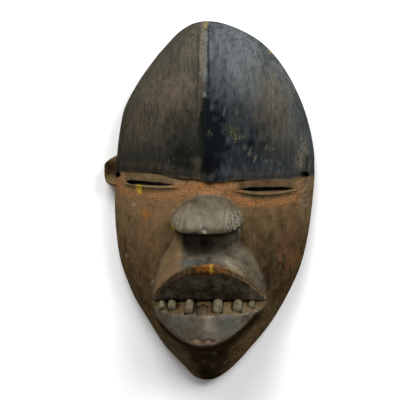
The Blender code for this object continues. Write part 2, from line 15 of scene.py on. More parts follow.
import bmesh
import bpy
import numpy as np
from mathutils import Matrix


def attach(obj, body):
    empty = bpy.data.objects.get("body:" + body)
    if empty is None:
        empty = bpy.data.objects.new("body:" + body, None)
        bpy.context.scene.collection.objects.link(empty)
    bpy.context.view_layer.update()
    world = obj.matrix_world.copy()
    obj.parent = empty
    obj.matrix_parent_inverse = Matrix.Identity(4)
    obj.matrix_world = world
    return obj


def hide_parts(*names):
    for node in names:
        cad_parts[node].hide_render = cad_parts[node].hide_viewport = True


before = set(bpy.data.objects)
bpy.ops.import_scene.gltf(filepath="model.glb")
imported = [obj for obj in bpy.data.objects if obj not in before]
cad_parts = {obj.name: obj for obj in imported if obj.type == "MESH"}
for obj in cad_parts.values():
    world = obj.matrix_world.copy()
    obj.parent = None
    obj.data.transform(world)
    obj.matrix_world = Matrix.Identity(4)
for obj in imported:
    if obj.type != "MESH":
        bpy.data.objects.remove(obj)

Array = np.ndarray
Line = Callable[[Array], Array]
log = logging.getLogger("dan_mask")

MM = 0.001


class Curve:
    """A smooth curve through (place, value) points that never overshoots them."""

    def __init__(self, *points: tuple[float, float]) -> None:
        """Work out the slope at each point: the harmonic mean of the rises beside it, or none at a turn.

        Args:
            points: places in rising order, each with its value.
        """
        self.place, self.value = np.array(points).T
        self.step = np.diff(self.place)
        rise = np.diff(self.value) / self.step
        same_way = rise[:-1] * rise[1:] > 0
        total = np.where(same_way, rise[:-1] + rise[1:], 1.0)
        inner = np.where(same_way, 2 * rise[:-1] * rise[1:] / total, 0.0)
        self.slope = np.concatenate(([rise[0]], inner, [rise[-1]]))

    def __call__(self, x: Array) -> Array:
        """Cubic between neighbours: both values and both slopes weighted by the four Hermite polynomials.

        Args:
            x: places to read the curve at.

        Returns:
            The curve's values there, held level beyond its two ends.
        """
        i = np.clip(np.searchsorted(self.place, x, side="right") - 1, 0, len(self.step) - 1)
        t = np.clip((x - self.place[i]) / self.step[i], 0.0, 1.0)
        value, slope, step = self.value, self.slope, self.step
        start = (1 + 2 * t) * (1 - t) ** 2 * value[i] + t * (1 - t) ** 2 * step[i] * slope[i]
        end = t * t * (3 - 2 * t) * value[i + 1] - t * t * (1 - t) * step[i] * slope[i + 1]
        return start + end


def smooth_step(x: Array) -> Array:
    """Rise smoothly from 0 at x = 0 to 1 at x = 1."""
    t = np.clip(x, 0.0, 1.0)
    return t * t * (3 - 2 * t)


def hump(x: Array, centre: float | Array, width: float) -> Array:
    """Bell of height 1 round a centre: e to the power of minus the squared distance in widths."""
    return np.exp(-(((x - centre) / width) ** 2))


def between(x: Array, low: Array | float, high: Array | float, soft: float) -> Array:
    """Rise to 1 past low and fall to 0 past high, each over a soft width."""
    return smooth_step((x - low) / soft + 0.5) * smooth_step((high - x) / soft + 0.5)


@dataclass(frozen=True)
class Noise:
    """Smooth noise on a lattice of seeded random numbers, from -1 to 1."""

    seed: int
    cells: int = 48

    def at(self, points: Array, size: Sequence[float]) -> Array:
        """Blend the eight corners of each lattice cell, with a smooth step along each axis.

        Args:
            points: places, with x, y and z along the last axis.
            size: the cell's size along x, y and z.

        Returns:
            One value for each place.
        """
        table = np.random.default_rng(self.seed).uniform(-1.0, 1.0, (self.cells,) * 3)
        scaled = points / np.array(size)
        cell = np.floor(scaled).astype(int)
        weight = smooth_step(scaled - cell)
        total = np.zeros(points.shape[:-1])
        for corner in np.ndindex(2, 2, 2):
            share = np.prod(np.where(corner, weight, 1 - weight), axis=-1)
            i, j, k = np.moveaxis((cell + corner) % self.cells, -1, 0)
            total += share * table[i, j, k]
        return total

    def layered(self, points: Array, size: Sequence[float], layers: int = 3) -> Array:
        """Sum of layers of noise, each half as large and half as strong as the one before.

        Args:
            points: places, with x, y and z along the last axis.
            size: the first layer's cell along x, y and z.
            layers: how many layers there are.

        Returns:
            One value for each place.
        """
        total = np.zeros(points.shape[:-1])
        for layer in range(layers):
            total += Noise(self.seed + layer).at(points, np.array(size) * 0.5**layer) * 0.5**layer
        return total


@dataclass(frozen=True)
class Outline:
    """The mask's outline seen from the front, and the way from shares to places."""

    height: float = 0.255
    width: float = 0.1405
    depth: float = 0.086
    edge: float = 0.008
    shift: float = 0.003768
    middle: Curve = Curve((-1.0, -0.075), (-0.8, -0.018), (0.1, -0.010), (0.8, -0.085), (1.0, -0.079))
    drift: Curve = Curve(
        (-1.0, 0.0), (-0.62, -0.010), (-0.45, -0.010), (-0.13, -0.040), (0.08, 0.0), (1.0, 0.0),
    )
    left: Curve = Curve(
        (-1.0, 0.72), (-0.95, 0.66), (-0.81, 0.83), (-0.68, 0.872), (-0.52, 0.955), (-0.28, 1.005),
        (0.48, 1.006), (0.66, 0.93), (0.80, 0.845), (0.90, 0.805), (1.0, 0.83),
    )
    right: Curve = Curve(
        (-1.0, 0.58), (-0.85, 0.64), (-0.70, 0.78), (-0.52, 0.88), (-0.35, 0.945), (0.0, 0.998),
        (0.3, 1.07), (0.6, 1.135), (0.88, 1.18), (1.0, 1.05),
    )
    raised: Curve = Curve(
        (-1.0, 0.10), (-0.90, 0.32), (-0.80, 0.575), (-0.522, 0.575), (-0.458, 0.562), (-0.390, 0.527),
        (-0.324, 0.475), (-0.243, 0.375), (-0.192, 0.328), (-0.160, 0.342), (-0.125, 0.354),
        (-0.083, 0.335), (-0.007, 0.225), (0.036, 0.12), (0.075, 0.18), (0.13, 0.30), (1.0, 0.30),
    )

    @property
    def half_height(self) -> float:
        """Half of the height, which v is a share of."""
        return self.height / 2

    @property
    def half_width(self) -> float:
        """Half of the width, which u is a share of."""
        return self.width / 2

    def midline(self, v: Array) -> Array:
        """The carved midline at v, as a share of the half width."""
        return self.middle(v) + self.drift(v)

    def side(self, u: Array, v: Array) -> Array:
        """Half width at v on u's side: its fullness times the root of 1 less v squared, less the drift."""
        fullness = np.where(u < 0, self.left(v), self.right(v))
        drift = np.where(u < 0, self.drift(v), -self.drift(v))
        return fullness * np.sqrt(np.clip(1 - v * v, 0.0, 1.0)) + drift

    def across(self, u: Array, v: Array) -> Array:
        """How far out u lies between the midline and the outline, from 0 to 1."""
        return np.clip(np.abs(u) / np.maximum(self.side(u, v), 1e-6), 0.0, 1.0)

    def ends(self, v: Array) -> Array:
        """Fall to nothing at chin and crown: the root of 1 less the ninth power of v."""
        return np.sqrt(np.clip(1 - np.abs(v) ** 9, 0.0, 1.0))

    def place(self, u: Array, v: Array, height: Array | float) -> Array:
        """Points of the shares u and v at a height in metres, with x, y and z along the last axis."""
        x = (self.midline(v) + u) * self.half_width + self.shift
        return np.stack([x, v * self.half_height + 0.0 * u, height + 0.0 * u], axis=-1)

    def shares(self, points: Array) -> tuple[Array, Array]:
        """The shares u and v of points, the reverse of place."""
        v = np.clip(points[..., 1] / self.half_height, -1.0, 1.0)
        return (points[..., 0] - self.shift) / self.half_width - self.midline(v), v


@dataclass(frozen=True)
class Eyes:
    """The brow, the eyelids and the cut slits."""

    brow: Curve = Curve(
        (-1.0, 0.158), (-0.60, 0.151), (-0.50, 0.144), (-0.38, 0.127), (-0.28, 0.1205), (-0.14, 0.117),
        (0.0, 0.095), (0.10, 0.097), (0.22, 0.110), (0.70, 0.1135), (0.80, 0.118), (0.95, 0.138),
        (1.1, 0.143),
    )
    lines: tuple[tuple[float, float], ...] = ((0.070, -0.039), (0.057, 0.011))
    blend: float = 0.28
    spans: tuple[tuple[float, float], ...] = ((-0.865, -0.335), (0.265, 0.83))
    swelling: float = 0.036
    lid_half_height: float = 0.052
    lid_reach: float = 0.035

    def line(self, u: Array) -> Array:
        """The line of the slits: the left one slants down towards the nose and the right one is level."""
        left, right = (level + slope * u for level, slope in self.lines)
        return left + (right - left) * smooth_step((u + self.blend) / (2 * self.blend))

    def lids(self, u: Array, v: Array) -> Array:
        """A low swelling along each slit: a flattened dome over an ellipse round it.

        Args:
            u: shares across.
            v: shares along.

        Returns:
            Heights of the swelling.
        """
        total = np.zeros(np.broadcast(u, v).shape)
        for start, end in self.spans:
            along = (u - (start + end) / 2) / (0.62 * (end - start))
            up = (v - self.line(u) - 0.006) / self.lid_half_height
            total = total + self.swelling * np.clip(1 - along**2 - up**2, 0.0, 1.0) ** 0.7
        return total

    def bow(self, u: Array) -> Array:
        """1 at the middle of each slit, falling to 0 at its ends as a bow.

        Args:
            u: shares across.

        Returns:
            The bow's share.
        """
        total = 0.0
        for start, end in self.spans:
            total = total + np.clip(1 - ((2 * u - start - end) / (end - start)) ** 2, 0.0, 1.0)
        return total

    def lower_rim(self, u: Array) -> Array:
        """The rim of the lower lid, which hangs below the slit as a bow."""
        return self.line(u) - np.where(u < 0, 0.011 + 0.008 * self.bow(u), 0.009 + 0.019 * self.bow(u))

    def lower_groove(self, u: Array) -> Array:
        """The groove under the lower lid's rim."""
        return self.line(u) - np.where(u < 0, 0.022 + 0.014 * self.bow(u), 0.020 + 0.024 * self.bow(u))

    def near(self, u: Array, soft: float = 0.06) -> Array:
        """1 along the slits' length and 0 beyond their ends."""
        return sum(between(u, start, end, soft) for start, end in self.spans)


@dataclass(frozen=True)
class Nose:
    """The block of the nose, with a flat underside and two lower wings."""

    outline: Outline
    bottom_level: float = -0.185
    top_level: float = 0.044
    half_width: float = 0.354
    flat: float = 0.17
    wing_drop: float = 0.085
    profile: Curve = Curve(
        (-0.185, 0.960), (-0.16, 0.980), (-0.10, 0.950), (-0.045, 0.880), (0.0, 0.79), (0.044, 0.69),
    )

    def bottom(self, u: Array) -> Array:
        """The lower edge, with its corners rounded up by the fourth power of the distance."""
        return self.bottom_level + 0.055 * np.clip(np.abs(u) / self.half_width, 0.0, 1.2) ** 4

    def raise_from(self, u: Array, v: Array, face: Array) -> Array:
        """Lift the face to the block, its profile less the wings' drop, by the root of 1 less across**5.

        Args:
            u: shares across.
            v: shares along.
            face: heights of the face there.

        Returns:
            Heights with the nose on them.
        """
        wing = self.wing_drop * smooth_step((np.abs(u) - self.flat) / 0.08)
        across = np.clip(np.abs(u) / self.outline.raised(v), 0.0, 1.0)
        block = face + (self.profile(v) - wing - face) * np.sqrt(1 - across**5)
        return np.where((v > self.bottom(u)) & (v < self.top_level), np.maximum(face, block), face)

    def front(self, u: Array, v: Array) -> Array:
        """1 on the nose and 0 off it."""
        across = np.abs(u) / self.outline.raised(v)
        along = between(v, self.bottom(u) - 0.008, self.top_level - 0.012, 0.03)
        return smooth_step((1.04 - across) / 0.10) * along


@dataclass(frozen=True)
class Mouth:
    """The muzzle, the open mouth and the two lips, as slopes between named lines."""

    outline: Outline
    half_width: float = 0.575
    tooth_level: float = -0.543
    edge_rise: float = 0.185
    edge_width: float = 0.036
    lower_top: float = 0.066
    lower_drop: float = 0.226
    lower_skew: float = 0.045
    muzzle_level: float = -0.150
    muzzle_height: tuple[float, float] = (0.66, 0.11)
    upper_height: tuple[float, float] = (1.0, 0.37)
    tooth_height: tuple[float, float] = (0.70, 0.165)
    lower_height: tuple[float, float] = (0.955, 0.355)
    rounding: float = 0.035
    ledge_height: float = 0.055
    lower_fall: float = 0.06
    under_fall: float = 0.19

    def share(self, u: Array, skew: float = 0.0) -> Array:
        """How far out u lies between the middle of the mouth, moved by a skew, and its corner."""
        return np.clip(np.abs(u + skew) / self.half_width, 0.0, 1.0)

    def level(self, heights: tuple[float, float], u: Array) -> Array:
        """Height of a line, which falls with the square of the distance from its middle to the corners."""
        return heights[0] - heights[1] * self.share(u) ** 2

    def muzzle_top(self, u: Array) -> Array:
        """The upper edge of the muzzle, read back from the raised middle's widths."""
        levels = np.linspace(self.tooth_level, self.muzzle_level, 60)
        widths = np.minimum.accumulate(self.outline.raised(levels))
        return np.interp(np.abs(u), widths[::-1], levels[::-1])

    def edge(self, u: Array) -> Array:
        """The arched front edge of the upper lip."""
        return self.tooth_level + 0.010 + self.edge_rise * (1 - self.share(u) ** 2.3)

    def inner(self, u: Array) -> Array:
        """The inner edge of the upper lip, where the palate starts: its band thins towards the corners."""
        return self.edge(u) - self.edge_width * (0.15 + 0.85 * (1 - self.share(u)) ** 0.8)

    def ledge(self, u: Array) -> Array:
        """The foot of the palate, a small step above the line of the teeth."""
        return self.teeth(u) + 0.004

    def teeth(self, u: Array) -> Array:
        """The straight line at the bottom of the mouth, that the teeth stand on."""
        return self.tooth_level - 0.004 * self.share(u)

    def front(self, u: Array) -> Array:
        """The front edge of the lower lip's top."""
        return self.tooth_level - 0.010 - self.lower_top * (1 - self.share(u) ** 8)

    def bottom(self, u: Array) -> Array:
        """The lower edge of the lower lip's front, which hangs a little to one side."""
        drop = self.lower_drop * (1 - self.share(u, self.lower_skew) ** 2)
        return np.minimum(self.tooth_level - 0.018 - drop, self.front(u) - 0.008)

    def under(self, u: Array) -> Array:
        """The line that the steep underside of the lower lip ends at."""
        return self.bottom(u) - 0.014

    def chin_top(self, u: Array) -> Array:
        """The line that the hollow under the lower lip runs out at."""
        return self.bottom(u) - 0.060

    def raise_from(self, u: Array, v: Array, face: Array) -> Array:
        """Lift the face to slopes between the lines, rounded over at the raised middle's edge.

        Args:
            u: shares across.
            v: shares along.
            face: heights of the plain face there.

        Returns:
            Heights with the mouth on them.
        """
        upper = self.level(self.upper_height, u)
        lower = self.level(self.lower_height, u)
        teeth = self.level(self.tooth_height, u)
        lines = (
            (self.muzzle_top, self.level(self.muzzle_height, u), 3.0),
            (self.edge, upper, 1.0),
            (self.inner, upper - self.rounding, 1.0),
            (self.ledge, teeth + self.ledge_height, 1.0),
            (self.teeth, teeth, 1.0),
            (self.front, lower, 1.0),
            (self.bottom, lower - self.lower_fall, 1.0),
            (self.under, lower - self.under_fall, 1.0),
            (self.chin_top, face, 1.0),
        )
        out = np.clip(np.abs(u) / self.outline.raised(v), 0.0, 1.0)
        wall = np.sqrt(1 - out**16)
        height = face
        for (high, high_level, bend), (low, low_level, _) in zip(lines[:-1], lines[1:]):
            top, bottom = high(u), low(u)
            share = (top - v) / np.maximum(top - bottom, 1e-6)
            slope = high_level + (low_level - high_level) * np.clip(share, 0.0, 1.0) ** bend
            lifted = face + np.maximum(slope - face, 0.0) * wall
            height = np.where((share >= 0) & (share <= 1), lifted, height)
        return height

    def slope_frame(self, across: float) -> tuple[Array, Array, Array, float]:
        """The lower lip's top at a share across: its foot, direction, outward normal and length.

        Args:
            across: the share across.

        Returns:
            The foot, direction, normal and length.
        """
        u = np.array(across)
        depth = self.outline.depth
        foot = self.outline.place(u, self.teeth(u), self.level(self.tooth_height, u) * depth)
        front = self.outline.place(u, self.front(u), self.level(self.lower_height, u) * depth)
        length = float(np.linalg.norm(front - foot))
        along = (front - foot) / length
        normal = np.cross([1.0, 0.0, 0.0], along)
        normal = normal / np.linalg.norm(normal) * np.sign(normal[2])
        return foot, along, normal, length


@dataclass(frozen=True)
class CarvedFace:
    """The whole carved front as heights over the shares u and v."""

    outline: Outline
    eyes: Eyes
    nose: Nose
    mouth: Mouth
    face_profile: Curve = Curve(
        (-1.0, 0.20), (-0.93, 0.32), (-0.80, 0.52), (-0.64, 0.61), (-0.40, 0.62), (-0.10, 0.65),
        (0.10, 0.69), (1.0, 0.69),
    )
    dome_profile: Curve = Curve(
        (0.0, 0.705), (0.12, 0.725), (0.32, 0.785), (0.48, 0.79), (0.64, 0.725), (0.80, 0.59), (0.92, 0.42),
        (1.0, 0.26),
    )
    step: float = 0.003
    wall: float = 0.010
    rim: float = 0.009
    tip_rim: float = 0.0104
    flat_edge: float = 0.0005

    def plain(self, u: Array, v: Array) -> Array:
        """The rounded shell without features: the profile times (1 - across**2.4)**0.55 over the edge."""
        low = self.outline.edge / self.outline.depth
        across = self.outline.across(u, v)
        return low + (self.face_profile(v) - low) * self.outline.ends(v) * (1 - across**2.4) ** 0.55

    def dome(self, u: Array, v: Array) -> Array:
        """The forehead's two lobes: (1 - across**2.2)**0.56 with a valley beside the raised middle line.

        Args:
            u: shares across.
            v: shares along.

        Returns:
            Heights of the forehead.
        """
        low = self.outline.edge / self.outline.depth
        ends = self.outline.ends(v)
        dome = low + (self.dome_profile(v) - low) * ends * (1 - self.outline.across(u, v) ** 2.2) ** 0.56
        valley = 0.012 * hump(np.abs(u), 0.062, 0.03)
        ridge = 0.018 * smooth_step((0.050 - np.abs(u)) / 0.026)
        return dome + (ridge - valley) * ends

    def height(self, u: Array, v: Array) -> Array:
        """Heights of the carving: face, lids, keel, mouth and nose below the brow, and the dome above.

        Args:
            u: shares across.
            v: shares along.

        Returns:
            Heights as shares of the depth.
        """
        face = self.plain(u, v) + self.eyes.lids(u, v)
        keel = 0.03 * smooth_step((0.09 - np.abs(u)) / 0.09) * smooth_step((-0.84 - v) / 0.04)
        face = face + keel * np.clip((1 - v * v) * 4, 0.0, 1.0)
        low = self.nose.raise_from(u, v, self.mouth.raise_from(u, v, face))
        return np.where(v > self.eyes.brow(u), np.maximum(self.dome(u, v), face), low)

    def hollow(self, v: Array, across: Array) -> Array:
        """Height of the hollow's ceiling in metres, a wall below the plain face."""
        profile = np.minimum(self.face_profile(v), self.dome_profile(np.maximum(v, 0.0)))
        middle = np.maximum(profile * self.outline.depth - self.wall, self.wall / 2)
        return self.flat_edge + middle * self.outline.ends(v) * (1 - across**2.4) ** 0.55

    def surface(self, u: Array, v: Array, lift: Array) -> Array:
        """Points of the plain face at u and v, raised by lengths."""
        return self.outline.place(u, v, self.plain(u, v) * self.outline.depth + lift)


class Ease(Enum):
    """How the rows of a span are spread between its two lines."""

    EVEN = "even"
    LOW = "close together at the lower line"
    HIGH = "close together at the upper line"

    def spread(self, share: Array) -> Array:
        """Shares of the way, bent by a power for the two close ends.

        Args:
            share: even shares of the way.

        Returns:
            The bent shares.
        """
        if self is Ease.LOW:
            return share**1.8
        if self is Ease.HIGH:
            return 1 - (1 - share) ** 1.8
        return share


@dataclass(frozen=True)
class FaceGrid:
    """The grid of rows and columns that the carved front is laid out on, close together at its steps."""

    face: CarvedFace
    inner_columns: int = 40
    outer_columns: int = 70
    widest: float = 0.84

    def lines(self) -> tuple[tuple[Line, int, Ease], ...]:
        """The lines that rows follow from chin to crown, each with the rows of the span that ends on it."""
        eyes, nose, mouth, step = self.face.eyes, self.face.nose, self.face.mouth, self.face.step
        return (
            (lambda u: -1.0 + 0.0 * u, 0, Ease.EVEN),
            (mouth.chin_top, 40, Ease.LOW),
            (mouth.under, 9, Ease.EVEN),
            (mouth.bottom, 10, Ease.EVEN),
            (mouth.front, 22, Ease.EVEN),
            (mouth.teeth, 20, Ease.EVEN),
            (mouth.ledge, 4, Ease.EVEN),
            (mouth.inner, 22, Ease.EVEN),
            (mouth.edge, 7, Ease.EVEN),
            (lambda u: nose.bottom(u) - step, 22, Ease.EVEN),
            (lambda u: nose.bottom(u) + step, 10, Ease.EVEN),
            (lambda u: eyes.line(u) - eyes.lid_reach, 32, Ease.EVEN),
            (lambda u: eyes.brow(u) - step, 24, Ease.EVEN),
            (lambda u: eyes.brow(u) + step, 5, Ease.EVEN),
            (lambda u: 1.0 + 0.0 * u, 110, Ease.HIGH),
        )

    def levels(self, u: Array) -> Array:
        """The v of every row at u, where u has one row of values for each row but the two tips.

        Args:
            u: shares across, row by row.

        Returns:
            The shares along of each row.
        """
        lines = self.lines()
        rows = [line(u) for line, _, _ in lines]
        made, row = [], 0
        for n in range(1, len(lines)):
            count, ease = lines[n][1:]
            shares = ease.spread(np.arange(1, count + 1) / count)
            if n == len(lines) - 1:
                shares = shares[:-1]
            for share in shares:
                made.append(rows[n - 1][row] + (rows[n][row] - rows[n - 1][row]) * share)
                row += 1
        return np.stack(made)

    @property
    def row_count(self) -> int:
        """The number of rows between the two tips."""
        return sum(count for _, count, _ in self.lines()) - 1

    def reach(self, side: int, limit: Array, width: Callable[[Array, Array], Array]) -> Array:
        """Find by halving, for all rows at once, how far out a row goes before it leaves a width.

        Args:
            side: -1 for the left and 1 for the right.
            limit: the farthest that each row may go.
            width: the width as a function of u and v.

        Returns:
            The distance out from the midline for each row, as one column.
        """
        near, far = np.zeros((self.row_count, 1)), limit + np.zeros((self.row_count, 1))
        for _ in range(34):
            middle = (near + far) / 2
            u = side * middle
            inside = middle < width(u, self.levels(u))
            near, far = np.where(inside, middle, near), np.where(inside, far, middle)
        return near

    def columns(self, side: int) -> Array:
        """The shares u of all rows' columns on one side, from the midline to the outline.

        Args:
            side: -1 for the left and 1 for the right.

        Returns:
            The shares across, rows by columns.
        """
        outline = self.face.outline
        end = self.reach(side, np.array([[1.3]]), outline.side)
        edge = self.reach(side, self.widest * end, lambda u, v: outline.raised(v))
        inward = 1 - (1 - np.linspace(0.0, 1.0, self.inner_columns + 1)) ** 1.6
        outward = 1 - (1 - np.arange(1, self.outer_columns + 1) / self.outer_columns) ** 1.8
        return side * np.concatenate((edge * inward, edge + (end - edge) * outward), axis=1)

    def shares(self) -> tuple[Array, Array]:
        """The shares u and v of the whole grid, from the left outline to the right one."""
        left, right = self.columns(-1), self.columns(1)
        u = np.concatenate((left[:, :0:-1], right), axis=1)
        return u, self.levels(u)


@dataclass(frozen=True)
class Mark:
    """A worn, chipped or coloured place, or a place of painted light or shade: an ellipse round a point of
    the front, in millimetres.
    """

    x: float
    y: float
    rx: float
    ry: float
    amount: float = 1.0
    turn: float = 0.0
    ragged: float = 0.35
    soft: float = 0.45

    def weight(self, points: Array, noise: Array) -> Array:
        """Fall from the amount to nothing over a soft width round the ellipse's edge, ragged by the noise.

        Args:
            points: places in metres.
            noise: noise there, from -1 to 1.

        Returns:
            One value for each place.
        """
        dx, dy = points[..., 0] / MM - self.x, points[..., 1] / MM - self.y
        c, s = math.cos(math.radians(self.turn)), math.sin(math.radians(self.turn))
        far = np.hypot((c * dx + s * dy) / self.rx, (c * dy - s * dx) / self.ry)
        return self.amount * smooth_step((1 + self.soft / 2 + self.ragged * noise - far) / self.soft)


def marks(*rows: tuple[float, ...]) -> tuple[Mark, ...]:
    """Marks from rows of x, y, rx, ry, amount, turn, ragged and soft; later ones may be left out."""
    return tuple(Mark(*row) for row in rows)


@dataclass(frozen=True)
class Relief:
    """Fine carving, tool marks and damage, as lengths along the surface's normal."""

    face: CarvedFace
    tool_marks: float = 0.22 * MM
    grain: float = 0.07 * MM
    lid_rim: float = 0.45 * MM
    lid_groove: float = 0.5 * MM
    nose_groove: float = 0.55 * MM
    crack: float = 1.1 * MM
    recess: float = 2.4 * MM
    lip_facets: float = 0.6 * MM
    lip_wear: float = 0.7 * MM
    lip_notches: float = 0.25 * MM
    chips: tuple[Mark, ...] = marks(
        (17.4, 48.9, 2.8, 2.6, 0.35, 0, 0.9), (20.2, 43.3, 2.6, 2.4, 0.35, 0, 0.9),
        (3.2, 47.2, 1.3, 1.8, 0.6), (0.7, 45.0, 2.0, 9.0, 0.6, 0, 0.6, 0.8),
        (2.6, 22.8, 3.0, 5.2, 0.9, 0, 0.6, 0.7), (27.4, 37.0, 1.4, 1.3, 0.35, 30, 1.0),
        (30.5, 33.6, 1.2, 1.8, 0.4, -30, 1.0), (34.2, 28.8, 0.8, 2.2, 0.4, -10, 1.0),
        (41.7, 27.1, 1.8, 0.7, 0.3, 0, 1.0), (45.4, 25.0, 0.7, 2.1, 0.3, 0, 1.0),
        (49.9, 26.5, 1.7, 0.7, 0.3, 0, 1.0), (0.2, -20.6, 2.2, 1.4, 0.9, -20), (-7.5, -22.6, 3.4, 0.9, 0.5),
        (-21.6, -18.5, 1.2, 2.4, 0.5), (-2.0, -97.0, 7.0, 1.3, 0.6, 0, 0.9),
        (4.5, -97.4, 2.4, 1.2, 0.6, 0, 0.9), (-38.1, -56.3, 1.2, 1.0, 0.35),
        (2.4, -41.0, 1.5, 2.4, 0.8, 0, 0.3, 0.8), (-3.8, -60.6, 0.6, 5.4, 0.5, 17, 0.5, 0.6),
        (67.9, 24.5, 0.9, 8.0, 1.2, -4, 0.4, 0.6),
    )
    rough: tuple[Mark, ...] = marks(
        (21.4, -14.1, 4.3, 8.6, 0.75, -4), (68.2, 7.4, 3.6, 15.5, 0.55, -4), (66.9, 34.1, 3.2, 8.4, 0.6),
        (-3.0, 112.0, 2.6, 20.0, 0.35), (1.2, 40.0, 3.0, 14.0, 0.5), (24.2, -83.7, 4.8, 6.9, 0.3, -30),
        (23.8, -38.5, 6.9, 6.2, 0.3, -40), (0.0, 10.0, 20.0, 8.0, 0.14), (41.0, -4.0, 17.0, 3.6, 0.22),
        (-44.0, 2.0, 19.0, 3.4, 0.22),
    )

    def rims(self, u: Array, v: Array) -> Array:
        """The eyelids' rims and the groove under each lower lid: bells across lines beside the slits.

        Args:
            u: shares across.
            v: shares along.

        Returns:
            Lengths along the normal.
        """
        eyes = self.face.eyes
        rim, groove = eyes.lower_rim(u), eyes.lower_groove(u)
        lower = hump(v, rim, 0.0058) * self.lid_rim
        sunk = hump(v, groove, 0.0085) * self.lid_groove
        upper = hump(v, eyes.brow(u) - 0.008, 0.006) * 0.5 * self.lid_rim
        return eyes.near(u) * (lower - sunk + upper)

    def hollows(self, points: Array, u: Array, v: Array) -> Array:
        """The deep recess between nose and upper lip: upright at its left, slanting back at its right.

        Args:
            points: places, with x, y and z along the last axis.
            u: shares across.
            v: shares along.

        Returns:
            Lengths along the normal.
        """
        x, y = points[..., 0] / MM, points[..., 1] / MM
        left = smooth_step((x + 15.9) / 1.2)
        right = smooth_step((22.6 + 1.52 * (y + 28.0) - x) / 7.0)
        low = smooth_step((y + 39.6) / 3.2) * smooth_step((-20.5 - y) / 3.0)
        inside = smooth_step((1 - np.abs(u) / self.face.outline.raised(v)) / 0.15)
        under = smooth_step((self.face.nose.bottom(u) + 0.004 - v) / 0.006)
        return -self.recess * left * right * low * inside * under

    def grooves(self, u: Array, v: Array) -> Array:
        """The two soft grooves that part the nose's wings from its front."""
        nose = self.face.nose
        on_nose = between(v, nose.bottom(u) + 0.01, -0.02, 0.05)
        return -hump(np.abs(u), 0.205, 0.022) * on_nose * self.nose_groove

    def ridge(self, points: Array, v: Array, noise: Array) -> Array:
        """The crack along the right of the forehead's middle line, and the dents in the line's lower half.

        Args:
            points: places, with x, y and z along the last axis.
            v: shares along.
            noise: noise there.

        Returns:
            Lengths along the normal.
        """
        x = points[..., 0] / MM
        line = Curve((20.0, 4.6), (50.0, 3.4), (80.0, 2.4), (124.0, 0.2))(points[..., 1] / MM)
        upper = hump(x, line + 0.5 * noise, 0.55) * between(v, 0.60, 0.95, 0.04) * self.crack
        lower = hump(x, line - 1.6, 1.6) * between(v, 0.34, 0.63, 0.05) * 0.9 * self.crack
        return -upper - lower

    def lips(self, points: Array, u: Array, v: Array, ragged: Array, coarse: Array) -> Array:
        """Facets on the lower lip's front, wear along its upper edge and notches along the upper lip.

        Args:
            points: places, with x, y and z along the last axis.
            u: shares across.
            v: shares along.
            ragged: fine noise there.
            coarse: coarser noise there.

        Returns:
            Lengths along the normal.
        """
        mouth, share = self.face.mouth, self.face.mouth.share(u)
        cuts = np.abs(Noise(53).layered(points, (0.012, 0.014, 0.012), 2))
        front = between(v, mouth.bottom(u) + 0.01, mouth.front(u), 0.02) * smooth_step((1 - share) / 0.1)
        worn = hump(v, mouth.front(u), 0.012) * np.maximum(coarse + 0.1, 0.0) * (share < 1)
        wave = np.maximum(np.sin(points[..., 0] / MM * 3.4 + 2 * ragged), 0.0)
        notched = hump(v, mouth.edge(u) - 0.008, 0.008) * smooth_step((0.5 - np.abs(u)) / 0.1) * wave
        facets = front * (0.45 - 1.3 * cuts)
        return facets * self.lip_facets - worn * self.lip_wear - notched * self.lip_notches

    def depth(self, points: Array, u: Array, v: Array) -> Array:
        """All fine relief of the front at the grid's points.

        Args:
            points: the smooth front's points.
            u: their shares across.
            v: their shares along.

        Returns:
            Lengths along the normal, inward where negative.
        """
        broad = Noise(11).layered(points, (0.011, 0.017, 0.011), 2)
        facets = np.abs(broad) ** 0.8 * np.sign(broad)
        streaks = Noise(23).layered(points, (0.0019, 0.022, 0.0019), 2)
        ragged = Noise(31).at(points, (0.0018, 0.0018, 0.0018))
        coarse = Noise(37).layered(points, (0.0022, 0.0026, 0.0022), 2)
        above = smooth_step((v - self.face.eyes.brow(u)) / 0.02)
        made = self.tool_marks * facets * (1 - 0.45 * above) + self.grain * streaks
        made = made + self.rims(u, v) + self.grooves(u, v)
        made = made + self.ridge(points, v, ragged) + self.hollows(points, u, v)
        for chip in self.chips:
            made = made - chip.weight(points, ragged) * MM * (1 + 0.5 * ragged)
        for patch in self.rough:
            made = made + patch.weight(points, ragged) * MM * (coarse - 0.35)
        made = made + self.lips(points, u, v, ragged, coarse)
        calm = smooth_step((1 - self.face.outline.across(u, v)) / 0.012) * np.clip((1 - v * v) * 30, 0.0, 1.0)
        return made * calm


def grid_faces(rows: int, columns: int, first: int = 0) -> Array:
    """Corner numbers of the quads of a grid of points stored row by row."""
    corner = first + np.arange(rows - 1)[:, None] * columns + np.arange(columns - 1)
    return np.stack([corner, corner + 1, corner + columns + 1, corner + columns], axis=-1).reshape(-1, 4)


def ring_faces(rings: int, count: int) -> list[list[int]]:
    """Corner numbers of the quads between neighbouring rings of points stored ring by ring.

    Args:
        rings: how many rings there are.
        count: points in a ring.

    Returns:
        Four corner numbers for each quad.
    """
    k, after = np.arange(count), np.roll(np.arange(count), -1)
    low = np.arange(rings - 1)[:, None] * count
    high = low + count
    return np.stack([low + k, low + after, high + after, high + k], axis=-1).reshape(-1, 4).tolist()


def smoothed(points: Array, rounds: int, amount: float = 0.5) -> Array:
    """Move each inner point of a grid towards the mean of its four neighbours, some rounds over.

    Args:
        points: the grid.
        rounds: how often its points are moved.
        amount: how far they go each time, as a share.

    Returns:
        The smoothed grid.
    """
    made = points.copy()
    for _ in range(rounds):
        mean = (made[:-2, 1:-1] + made[2:, 1:-1] + made[1:-1, :-2] + made[1:-1, 2:]) / 4
        made[1:-1, 1:-1] += amount * (mean - made[1:-1, 1:-1])
    return made


